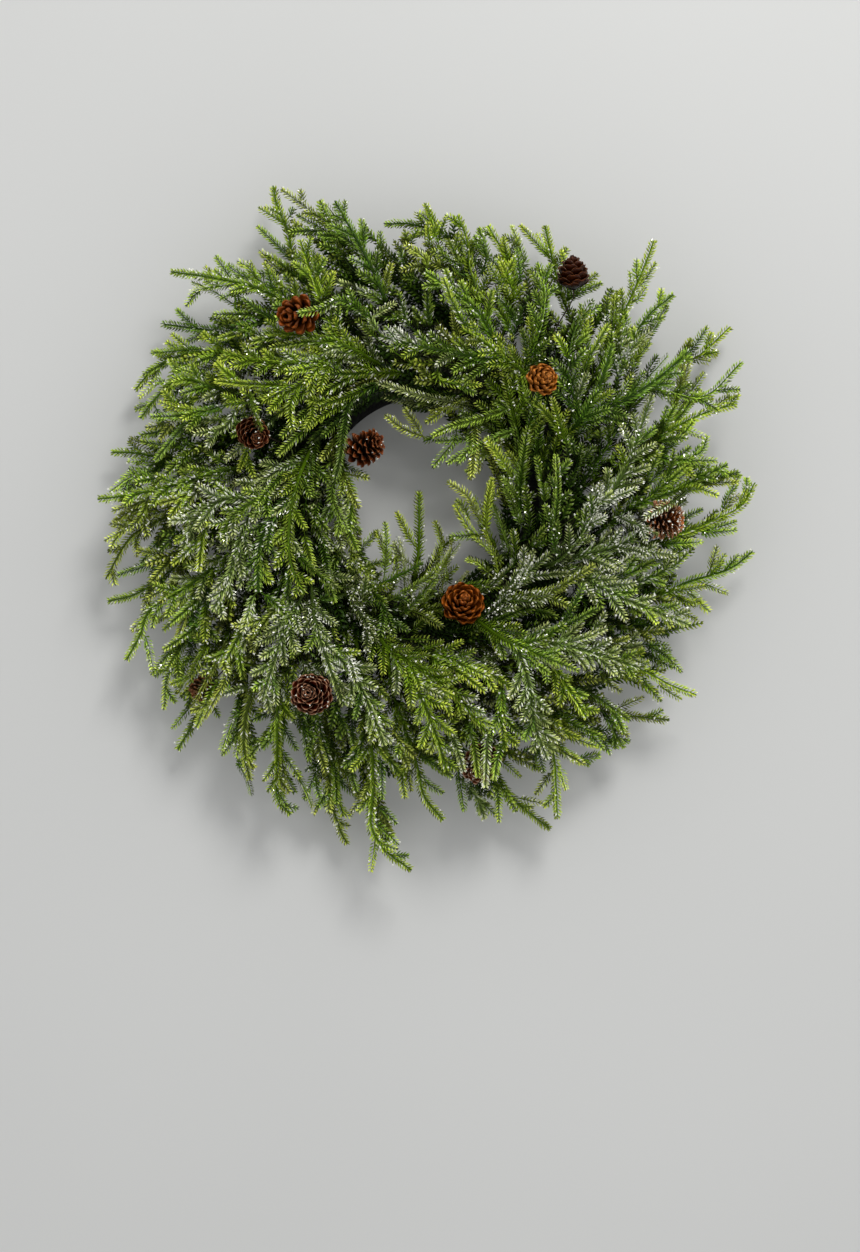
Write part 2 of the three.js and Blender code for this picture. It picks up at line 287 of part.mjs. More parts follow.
    ['stem', [[-91.3, 82.2, 20.2], [-93, 77.5, 32.2], [-105.7, 41.4, 75.5], [-113.6, 7.9, 81.7], [-113.4, -29.4, 85], [-101.7, -57.5, 87.8]]],
    ['stem', [[-107.3, 34.7, 76.7], [-117, 20.4, 79.8], [-131.8, -0.4, 81.4], [-139.2, -21, 82.3], [-139.9, -55.8, 83.6]]],
    ['stem', [[-92.9, 77.6, 31.9], [-75.3, 62.5, 46.8], [-70.9, 47.1, 50.8], [-63.3, 26.1, 52.1], [-64.9, -3.4, 53.8], [-59, -20.2, 54.8]]],
    ['side', [[-101.7, 52.8, 61.8], [-117.5, 48.3, 71.2], [-154, 25.8, 72.4]]],
    ['side', [[-113.2, 9.5, 81.4], [-113.9, 8.1, 77.1], [-113.8, -29.2, 78.2]]],
    ['side', [[-107.7, 32.6, 77.1], [-105.8, 27.4, 73.3], [-89.9, 25.6, 76.5]]],
    ['side', [[-113.4, -27.5, 84.9], [-120.1, -31, 84], [-127.4, -35.2, 85.6]]],
    ['side', [[-139.9, -54.3, 83.6], [-145.3, -62.3, 77.6], [-152.8, -88.8, 77.5]]],
    ['side', [[-139.9, -54.3, 83.6], [-122, -69, 81.1], [-105.1, -90.5, 85.6]]],
    ['tip', [[-71, 47.4, 50.7], [-68.3, 36.9, 53.1], [-57.3, 14.8, 58.4]]],
    ['side', [[-70, 44.7, 51], [-60.7, 42.6, 55.3], [-49.7, 40, 57.6]]],
    ['side', [[-71, 47.4, 50.7], [-81.3, 25.5, 62.8], [-66.4, -6.2, 61.4]]],
  ],
  top_spray_02: [
    ['stem', [[-115.4, 29.8, 18], [-120.2, 28.2, 30], [-133.8, 23.9, 77.1], [-156.5, 10.3, 83.2], [-172.3, -11.1, 81.9]]],
    ['stem', [[-134.2, 23.6, 77.2], [-148.7, 20.5, 77.2], [-170.3, 20.6, 76.2], [-192.4, 4.3, 70.7], [-204.6, -20.5, 65.2]]],
    ['stem', [[-138.3, 21.2, 78.3], [-146.9, 8, 79], [-156.9, -16.8, 78.4], [-165.5, -45.7, 73.7], [-179.2, -72.2, 69.2]]],
    ['side', [[-184.4, 10.1, 72.7], [-193.6, 12.8, 66.7], [-215.8, 0.2, 69.6]]],
    ['side', [[-180.8, 12.8, 73.6], [-188.5, 17.7, 67.6], [-186.7, 7.6, 69.4]]],
  ],
  top_spray_03: [
    ['stem', [[-100.4, -22.9, 20.6], [-99.8, -27.8, 32.6], [-92.9, -78.9, 82.9], [-80.6, -118.6, 80.1], [-69.1, -149.3, 78]]],
    ['stem', [[-97.7, -43.1, 47.7], [-105.7, -62.3, 74.6], [-118.6, -88.8, 81.2], [-137.6, -145.4, 69]]],
    ['stem', [[-92.6, -79.7, 82.8], [-87.1, -95.4, 82.2], [-62.4, -121.9, 79.8], [-46, -155.2, 73.9], [-36.1, -182.9, 69.3]]],
    ['side', [[-95.5, -59.7, 64], [-91.2, -62.2, 66.6], [-93.7, -73, 66.3]]],
    ['side', [[-109.8, -70.8, 76.7], [-120.3, -70.6, 78], [-105.1, -107, 85.2]]],
    ['side', [[-74.6, -108.8, 81], [-66.5, -107.8, 82.1], [-59, -129.3, 84.1]]],
    ['side', [[-128.5, -118.2, 74.9], [-126, -122.1, 68.9], [-126.9, -150.5, 67.4]]],
  ],
  top_spray_04: [
    ['stem', [[-54.7, -65.9, 20.8], [-52.2, -70.3, 32.8], [-35.2, -99.6, 74.7], [-10.3, -116.9, 82.7], [18.7, -136.9, 78.3], [52, -176.9, 72]]],
    ['stem', [[-34.7, -100, 74.8], [-24.3, -112, 80.7], [-6.1, -140.9, 82.5], [7.1, -174.3, 74], [15.5, -203.8, 66.7]]],
    ['stem', [[-34.7, -100, 74.8], [-21.1, -105.4, 76.7], [10.4, -107.9, 78.1], [43.6, -118.7, 76.8], [72.6, -136.9, 75.6]]],
    ['side', [[61.5, -129.9, 76.1], [60.3, -145.4, 70.1], [64.5, -187, 69.7]]],
    ['side', [[61.5, -129.9, 76.1], [62.8, -155.4, 70.1], [71.1, -167.8, 71.1], [81.1, -176.9, 72]]],
    ['tip', [[-34.4, -100.2, 74.9], [-0.4, -125.3, 74.8]]],
    ['tip', [[12.4, -108.5, 78], [16.2, -120.3, 80.7], [16.2, -133.4, 83.5]]],
    ['side', [[5, -168.9, 75.4], [15.4, -167, 69.4], [29.5, -153.6, 72.6]]],
  ],
  top_spray_05: [
    ['stem', [[27.8, -69, 19.7], [31.9, -72, 31.7], [64.2, -95.4, 81.1], [97.4, -110.4, 76.8], [132.2, -159.7, 64.8]]],
    ['stem', [[51.2, -86, 61.4], [66.9, -95.5, 73.3], [109.8, -99.6, 78.2], [143.5, -108, 70.7], [177.4, -118.9, 63.1]]],
    ['stem', [[64.8, -95.7, 81], [76.5, -107.8, 82.7], [84.9, -136.8, 80.6], [89.4, -166.1, 72.2], [100.6, -195.7, 63.4]]],
    ['tip', [[64.8, -95.7, 81], [123.1, -120.1, 91]]],
    ['side', [[64.8, -95.7, 81], [64.1, -97.1, 82], [84.7, -99.6, 83.1], [100.4, -97.9, 84]]],
    ['side', [[43.1, -80.1, 48.9], [62.2, -63.8, 63.1], [74.7, -48.8, 65.1], [88.7, -24.8, 67.9]]],
  ],
  top_spray_06: [
    ['stem', [[89, -34, 20.4], [93.9, -32.9, 32.4], [109.9, -29.1, 75.8], [132.2, -0.7, 89.5], [142.7, 30.4, 93.2]]],
    ['stem', [[105.1, -30.3, 62.8], [119.9, -25.8, 66.5], [159.1, -17, 65.7], [188.6, 4, 49.5], [218.4, 22.6, 37.1]]],
    ['stem', [[127.8, -6.4, 86.8], [138.4, 7.8, 84.3], [163.5, 45.2, 80], [186.7, 108.2, 70.3]]],
    ['stem', [[100.3, -31.4, 49.8], [114.8, -33.8, 63.7], [151.5, -55.6, 74.6], [219.7, -83, 57.6]]],
    ['side', [[152.8, -18.4, 65.8], [159.6, -22.5, 64.2], [171.8, -20.1, 71.1], [204.2, -25.3, 86.4]]],
    ['side', [[160.3, -59.2, 72.4], [177.1, -47.2, 66.4], [204.1, -34.8, 71], [215.5, -23.3, 73.5]]],
    ['side', [[169.1, -9.9, 60.2], [168.8, -4.2, 64.9], [167.9, 9.8, 77.1]]],
    ['side', [[110.7, -28.2, 76.3], [103.3, -12.6, 90.6], [106.5, 24.6, 90.9], [106.4, 57.6, 79.8]]],
  ],
  top_spray_07: [
    ['stem', [[91.4, 108.9, 8.7], [88.8, 113.2, 20.7], [80.2, 127.2, 72], [64.2, 137.9, 79.8], [47.6, 150.8, 82.7], [28.5, 161.2, 85.6]]],
    ['stem', [[87.1, 116, 31], [82.2, 129.6, 64.5], [93.1, 160.9, 80.9], [97.5, 190.8, 74.6], [92, 219.1, 68.6]]],
    ['stem', [[72.2, 132.5, 75.9], [60.1, 143.1, 77.9], [43.5, 173.7, 78.1], [20.4, 194.8, 75.3], [-2, 210.1, 73]]],
    ['stem', [[69, 134.7, 77.5], [53.4, 136.2, 80.3], [-10.2, 147.8, 86.9], [-39, 154.8, 90.2]]],
    ['side', [[-0.7, 209.2, 73.1], [-2, 221.8, 67.1], [-19.5, 233.5, 71.8]]],
    ['side', [[-37.4, 154.5, 90], [-45.8, 170.5, 84], [-26.7, 182.2, 88.7]]],
    ['side', [[12.4, 143.7, 84.5], [10.4, 119.9, 78.3], [43.5, 115.5, 80.8]]],
  ],
  top_spray_08: [
    ['stem', [[-25.6, 128, 20.8], [-30.1, 130.2, 32.8], [-62.2, 145.5, 80.9], [-97.1, 156.7, 72.3], [-137.1, 161.4, 63.8]]],
    ['stem', [[-52.6, 140.9, 66.4], [-68.2, 149.3, 78.8], [-84.6, 177.1, 82], [-106.2, 237.7, 66.7]]],
    ['stem', [[-49.4, 139.4, 61.6], [-64.3, 143.5, 71.9], [-97.1, 134.5, 79.7], [-134.7, 135.1, 74.6], [-170.9, 144, 69.7]]],
    ['stem', [[-55.8, 142.5, 71.2], [-72.4, 144.7, 75.7], [-105.4, 115.5, 78.3], [-137, 103.3, 77.1], [-167.8, 99.4, 76.1]]],
    ['side', [[-124, 159.9, 66.6], [-131.6, 173.6, 64.7], [-142.4, 179.5, 68.3], [-152.4, 188.7, 71.8]]],
    ['side', [[-165.9, 99.6, 76.2], [-176.6, 94.1, 70.2], [-209.9, 98.3, 70.1], [-222.4, 102.4, 70]]],
    ['side', [[-109.6, 113.9, 78.1], [-113.6, 115.4, 80.8], [-135.7, 101.9, 84.2]]],
    ['side', [[-165.9, 99.6, 76.2], [-197.4, 91.6, 70.2], [-229.6, 89.7, 72.3]]],
    ['side', [[-156.7, 100.8, 76.5], [-168.3, 81.6, 70.6], [-194.3, 75.3, 76.1]]],
    ['side', [[-104.2, 116.7, 78.2], [-111.8, 102.8, 82.8], [-113.5, 90.4, 83.4], [-111, 76.3, 84]]],
    ['side', [[-99.5, 120.7, 77.8], [-95.5, 93.3, 78.3], [-101.1, 78.1, 82.8]]],
    ['side', [[-88.1, 187.1, 79.4], [-90.8, 188.3, 73.9], [-94.6, 227.1, 80.9]]],
  ],
  top_spray_09: [
    ['stem', [[106, 61.7, 17.8], [109.1, 65.6, 29.8], [126.4, 86.8, 77.2], [143.3, 116.3, 72.9], [153.7, 150.1, 67.4]]],
    ['stem', [[119.5, 78.3, 58.2], [125, 91.3, 74], [116.1, 127.6, 83.7], [122.3, 161.4, 77.1], [136.7, 187, 71.6]]],
    ['stem', [[123, 82.6, 67.7], [134.7, 90.9, 77.5], [165.7, 104.5, 82.6], [194.7, 124.5, 73.5], [218.9, 146.2, 65.2]]],
    ['side', [[171.8, 108.7, 80.7], [173.9, 107.8, 74.7], [178, 116.1, 74.7], [199.6, 140.9, 74.9]]],
    ['side', [[120.4, 151.3, 79.1], [131.7, 157.8, 73.1], [135.7, 178.4, 74.2]]],
    ['side', [[122, 159.9, 77.4], [126, 162.1, 71.4], [127.7, 183.9, 70.4]]],
  ],
};

// wire picks: from the ring base to the foot of each cone
const WIRES = {
  cone_wire_01: [[-53.3, 130.8, 19.8], [-58.7, 136.2, 35.8], [-73.7, 150.9, 51.6], [-95.5, 176.3, 66.2], [-101.1, 174.7, 74.4]],
  cone_wire_02: [[77.6, 111.2, 19.8], [83, 121.4, 35.8], [97.8, 149.5, 45], [122.7, 191.4, 55], [122.2, 200.1, 57.3]],
  cone_wire_03: [[85.6, 103, 19.8], [86, 104.7, 35.8], [87.4, 109.3, 59.1], [87.7, 116.3, 83.8], [91, 117.4, 90.4]],
  cone_wire_04: [[111.8, -1.1, 19.8], [120.3, -0.3, 34.6], [177.3, 5.5, 60], [186.7, 5, 63.7]],
  cone_wire_05: [[9, -90.9, 19.8], [14.1, -102.7, 35.8], [28.1, -135.1, 40.1], [53.6, -186.2, 40.9], [50, -191.5, 48.8]],
  cone_wire_06: [[-70.5, -69.4, 19.8], [-73.4, -78, 35.8], [-81.2, -101.9, 50.9], [-93.8, -142.2, 63.5], [-94.8, -141.2, 73.9]],
  cone_wire_07: [[-100.9, -37.1, 19.8], [-110.5, -48.2, 35.8], [-136.8, -78.7, 35.5], [-178.2, -127.5, 32.6], [-182.5, -131.1, 36.9]],
  cone_wire_08: [[-111.9, 66.1, 19.8], [-116.2, 67.7, 35.8], [-128.1, 72.1, 54.3], [-149.5, 81, 73.1], [-146.8, 78.3, 80]],
  cone_wire_09: [[-79.5, 90.5, 19.8], [-77.4, 87.1, 35.8], [-71.7, 77.8, 42.8], [-65.8, 60.9, 48.4], [-59.2, 63.1, 53.7]],
  cone_wire_10: [[19.6, -73, 19.8], [20.6, -72.7, 35.8], [23.5, -71.7, 39.1], [27.6, -72, 37.8], [28.6, -68.6, 47.1]],
};

const CONES = {
  pine_cone_01: { at: [-107.7, 172.9, 84], axis: [-0.56, -0.153, 0.814], diameter: 33, length: 36 },
  pine_cone_02: { at: [121.7, 210.3, 60], axis: [-0.051, 0.966, 0.254], diameter: 26, length: 33 },
  pine_cone_03: { at: [94.8, 118.6, 98], axis: [0.442, 0.147, 0.885], diameter: 24.5, length: 27 },
  pine_cone_04: { at: [197.8, 4.4, 68], axis: [0.931, -0.052, 0.362], diameter: 30, length: 36 },
  pine_cone_05: { at: [45.6, -197.6, 58], axis: [-0.362, -0.517, 0.776], diameter: 34, length: 36 },
  pine_cone_06: { at: [-96, -140, 86], axis: [-0.099, 0.099, 0.99], diameter: 37, length: 35 },
  pine_cone_07: { at: [-187.6, -135.3, 42], axis: [-0.609, -0.508, 0.609], diameter: 24, length: 26 },
  pine_cone_08: { at: [-143.7, 75.2, 88], axis: [0.341, -0.341, 0.876], diameter: 28, length: 30 },
  pine_cone_09: { at: [-51.4, 65.7, 60], axis: [0.756, 0.252, 0.605], diameter: 31, length: 33 },
  pine_cone_10: { at: [29.7, -64.6, 58], axis: [0.098, 0.344, 0.934], diameter: 33.5, length: 34 },
};

// ---- geometry helpers ----------------------------------------------------------------------
const V = (p) => new THREE.Vector3(p[0], p[1], p[2]);

// Closed prism swept along a centre line; size(i, f) gives its half width and half height.
function sweep(points, sides, size) {
  const P = points.map(V);
  const n = P.length;
  const lengths = [0];
  for (let i = 1; i < n; i++) lengths.push(lengths[i - 1] + P[i].distanceTo(P[i - 1]));
  const total = lengths[n - 1];
  const position = [];
  const index = [];
  let lastSide = null;
  for (let i = 0; i < n; i++) {
    const a = P[Math.max(0, i - 1)];
    const b = P[Math.min(n - 1, i + 1)];
    const t = b.clone().sub(a).normalize();
    if (i > 0 && i < n - 1) {
      const u = P[i].clone().sub(P[i - 1]).normalize();
      const w = P[i + 1].clone().sub(P[i]).normalize();
      t.copy(u.add(w)).normalize();
    }
    // the section keeps level where the run allows it and never turns over between stations
    let side = new THREE.Vector3().crossVectors(t, new THREE.Vector3(0, 0, 1));
    if (lastSide && (side.length() < 0.35 || side.dot(lastSide) < 0)) side.copy(lastSide).addScaledVector(t, -lastSide.dot(t));
    if (side.length() < 1e-3) side.set(1, 0, 0).addScaledVector(t, -t.x);
    side.normalize();
    lastSide = side.clone();
    const up = new THREE.Vector3().crossVectors(side, t).normalize();
    const [hw, hh] = size(i, lengths[i] / total);
    for (let k = 0; k < sides; k++) {
      const ang = (2 * Math.PI * k) / sides;
      const q = P[i].clone().addScaledVector(side, hw * Math.cos(ang)).addScaledVector(up, hh * Math.sin(ang));
      position.push(q.x, q.y, q.z);
    }
  }
  for (let i = 0; i < n - 1; i++) {
    for (let k = 0; k < sides; k++) {
      const a = i * sides + k;
      const b = i * sides + ((k + 1) % sides);
      const c = a + sides;
      const d = b + sides;
      index.push(a, c, b, b, c, d);
    }
  }
  for (let k = 1; k < sides - 1; k++) {
    index.push(0, k, k + 1);
    const e = (n - 1) * sides;
    index.push(e, e + k + 1, e + k);
  }
  const g = new THREE.BufferGeometry();
  g.setAttribute('position', new THREE.Float32BufferAttribute(position, 3));
  g.setIndex(index);
  return g;
}

const wasm = await Module();
wasm.setup();

function toSolid(geometry) {
  let g = geometry.clone();
  g.deleteAttribute('normal');
  g.deleteAttribute('uv');
  g = mergeVertices(g, 1e-4);
  const mesh = new wasm.Mesh({
    numProp: 3,
    vertProperties: new Float32Array(g.attributes.position.array),
    triVerts: new Uint32Array(g.index.array),
  });
  return new wasm.Manifold(mesh);
}

function toGeometry(solid) {
  const m = solid.getMesh();
  const g = new THREE.BufferGeometry();
  g.setAttribute('position', new THREE.BufferAttribute(new Float32Array(m.vertProperties), 3));
  g.setIndex(new THREE.BufferAttribute(new Uint32Array(m.triVerts), 1));
  g.computeVertexNormals();
  return g;
}

// Turns a sweep outward when its faces point in.
function outward(geometry) {
  const p = geometry.attributes.position;
  const ix = geometry.index.array;
  let vol = 0;
  const a = new THREE.Vector3(), b = new THREE.Vector3(), c = new THREE.Vector3();
  for (let i = 0; i < ix.length; i += 3) {
    a.fromBufferAttribute(p, ix[i]);
    b.fromBufferAttribute(p, ix[i + 1]);
    c.fromBufferAttribute(p, ix[i + 2]);
    vol += a.dot(b.cross(c));
  }
  if (vol < 0) {
    const flipped = [];
    for (let i = 0; i < ix.length; i += 3) flipped.push(ix[i], ix[i + 2], ix[i + 1]);
    geometry.setIndex(flipped);
  }
  return geometry;
}

// ---- sprays ---------------------------------------------------------------------------------
const stemSize = (extra) => (i, f) => {
  const r = STEM_ROOT_R + (STEM_TIP_R - STEM_ROOT_R) * f + extra;
  return [r, r];
};
function twigSize(kind, count) {
  return (i, f) => {
    if (i === 0) return [TWIG_STALK_R, TWIG_STALK_R * 0.9];
    if (i === count - 1) return [0.5, 0.4];
    if (kind === 'side' && i === 1) return [TWIG_HALF_WIDTH * 0.8, TWIG_HALF_HEIGHT];
    return [TWIG_HALF_WIDTH, TWIG_HALF_HEIGHT];
  };
}
function branchSolid(kind, pts) {
  if (kind === 'stem') return toSolid(outward(sweep(pts, 4, stemSize(0))));
  return toSolid(outward(sweep(pts, 4, twigSize(kind, pts.length))));
}

const wreath = new THREE.Group();
wreath.name = 'pine_wreath';

function addMesh(parent, name, geometry, color, roughness, metalness = 0) {
  const mesh = new THREE.Mesh(geometry, new THREE.MeshStandardMaterial({ color, roughness, metalness }));
  mesh.name = name;
  parent.add(mesh);
  return mesh;
}

// true where a branch passes within 2 mm of the ring's skin, so the ring is relieved there
function meetsRing(pts) {
  const mid = (RING_INNER_R + RING_OUTER_R) / 2, half = (RING_OUTER_R - RING_INNER_R) / 2 + 2;
  for (let i = 0; i < pts.length - 1; i++) {
    for (let t = 0; t <= 1; t += 0.1) {
      const p = V(pts[i]).lerp(V(pts[i + 1]), t);
      const q = (Math.hypot(p.x - RING_CENTER[0], p.y - RING_CENTER[1]) - mid) / half;
      if (q * q < 1 && p.z < (RING_HEIGHT + 2) * Math.sqrt(1 - q * q)) return true;
    }
  }
  return false;
}

const sprayGroup = new THREE.Group();
const sockets = [];
let count = 0;
for (const [name, rows] of Object.entries(SPRAYS)) {
  let solid = null;
  rows.forEach(([kind, pts], i) => {
    const s = branchSolid(kind, pts);
    solid = solid ? solid.add(s) : s;
    if (kind === 'stem' && i === 0) sockets.push([pts.slice(0, 3), stemSize(SOCKET_GAP)]);
    else if (meetsRing(pts)) {
      const size = kind === 'stem' ? stemSize(SOCKET_GAP) : twigSize(kind, pts.length);
      sockets.push([pts, (j, f) => size(j, f).map((v) => v + (kind === 'stem' ? 0 : SOCKET_GAP))]);
    }
  });
  addMesh(sprayGroup, name, toGeometry(solid), NEEDLE_GREENS[count++ % NEEDLE_GREENS.length], 0.6);
}
wreath.add(sprayGroup);

// ---- wire picks -----------------------------------------------------------------------------
const wireGroup = new THREE.Group();
for (const [name, pts] of Object.entries(WIRES)) {
  addMesh(wireGroup, name, toGeometry(toSolid(outward(sweep(pts, 5, () => [WIRE_R, WIRE_R])))), WIRE_BROWN, 0.5, 0.4);
  sockets.push([pts.slice(0, 3), () => [WIRE_R * 1.2 + SOCKET_GAP, WIRE_R * 1.2 + SOCKET_GAP]]);
}
wreath.add(wireGroup);

// ---- ring base: a half-round ring with a flat back and a blind socket for every stem --------
const section = [];
const ringMid = (RING_INNER_R + RING_OUTER_R) / 2;
const ringHalf = (RING_OUTER_R - RING_INNER_R) / 2;
section.push(new THREE.Vector2(RING_INNER_R, 0));
section.push(new THREE.Vector2(RING_OUTER_R, 0));
const ARC = 8;
for (let i = 1; i < ARC; i++) {
  const a = (Math.PI * i) / ARC;
  section.push(new THREE.Vector2(ringMid + ringHalf * Math.cos(a), RING_HEIGHT * Math.sin(a)));
}
section.push(new THREE.Vector2(RING_INNER_R, 0));
const ringGeometry = new THREE.LatheGeometry(section, RING_SEGMENTS);
ringGeometry.rotateX(Math.PI / 2);
ringGeometry.translate(RING_CENTER[0], RING_CENTER[1], 0);
let ring = toSolid(outward(mergeVertices((() => { const g = ringGeometry.clone(); g.deleteAttribute('normal'); g.deleteAttribute('uv'); return g; })(), 1e-4)));

// a stem's or wire's own run, widened by the gap and carried past its buried end
for (const [pts, size] of sockets) {
  const a = V(pts[0]), b = V(pts[1]);
  const start = a.clone().addScaledVector(a.clone().sub(b).normalize(), SOCKET_GAP);
  ring = ring.subtract(toSolid(outward(sweep([start.toArray(), ...pts.slice(1)], 4, size))));
}
const ringMesh = addMesh(wreath, 'ring_base', toGeometry(ring), RING_BLACK, 0.95);

// ---- cones ------------------------------------------------------------------------------------
// Turned body with stepped rows of scales; the wire's end sits in a socket in its foot.
const coneGroup = new THREE.Group();
count = 0;
for (const [name, c] of Object.entries(CONES)) {
  const R = c.diameter / 2, L = c.length;
  const profile = [new THREE.Vector2(0, -L / 2)];
  for (let i = 0; i < CONE_WHORLS; i++) {
    const f0 = (i + 0.15) / CONE_WHORLS, f1 = (i + 0.85) / CONE_WHORLS;
    const env = (f) => R * Math.pow(Math.sin(Math.PI * (0.16 + 0.80 * f)), 0.72);
    profile.push(new THREE.Vector2(env(f0) * 0.72, -L / 2 + L * (i + 0.05) / CONE_WHORLS));
    profile.push(new THREE.Vector2(env(f1), -L / 2 + L * f1));
  }
  profile.push(new THREE.Vector2(0, L / 2));
  const g = new THREE.LatheGeometry(profile, CONE_SIDES);
  const axis = V(c.axis).normalize();
  g.applyQuaternion(new THREE.Quaternion().setFromUnitVectors(new THREE.Vector3(0, 1, 0), axis));
  g.translate(c.at[0], c.at[1], c.at[2]);
  g.deleteAttribute('normal');
  g.deleteAttribute('uv');
  let solid = toSolid(outward(mergeVertices(g, 1e-4)));
  const wire = WIRES['cone_wire_' + name.slice(-2)];
  const e = V(wire[wire.length - 1]), d = V(wire[wire.length - 2]);
  const past = e.clone().addScaledVector(e.clone().sub(d).normalize(), SOCKET_GAP);
  const r = WIRE_R + SOCKET_GAP;
  solid = solid.subtract(toSolid(outward(sweep([...wire.slice(0, -1), past.toArray()], 5, () => [r, r]))));
  addMesh(coneGroup, name, toGeometry(solid), CONE_BROWNS[count++ % CONE_BROWNS.length], 0.7);
}
wreath.add(coneGroup);

export default wreath;
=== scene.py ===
import bpy
import json
import math
import numpy as np
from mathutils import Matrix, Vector


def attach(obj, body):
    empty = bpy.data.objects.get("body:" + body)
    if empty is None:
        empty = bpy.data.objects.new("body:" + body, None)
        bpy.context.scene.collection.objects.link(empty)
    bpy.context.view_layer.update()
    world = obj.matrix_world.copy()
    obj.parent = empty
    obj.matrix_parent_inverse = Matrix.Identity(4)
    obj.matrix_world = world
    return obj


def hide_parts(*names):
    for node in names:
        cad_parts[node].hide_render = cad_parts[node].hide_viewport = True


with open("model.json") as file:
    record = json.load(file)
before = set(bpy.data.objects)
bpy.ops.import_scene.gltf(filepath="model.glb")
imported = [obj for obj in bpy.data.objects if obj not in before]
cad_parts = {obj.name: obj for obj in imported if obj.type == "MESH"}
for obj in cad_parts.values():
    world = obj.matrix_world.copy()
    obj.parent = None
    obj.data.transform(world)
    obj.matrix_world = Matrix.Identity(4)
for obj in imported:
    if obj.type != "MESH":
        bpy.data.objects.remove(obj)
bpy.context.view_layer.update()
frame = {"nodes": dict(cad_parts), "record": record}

# A round wreath lying on its flat back: needle-clad sprays, small cones on wire picks and a
# black flocked ring.  Lengths below are millimetres in the CAD frame, turned to metres when a
# mesh is made.

RING = (-2.14, 25.6)
RING_IN, RING_OUT, RING_TOP = 87.0, 131.0, 31.5
EYE = (2.138, -83.858, 2050.0)      # where the picture is taken from, straight above the floor

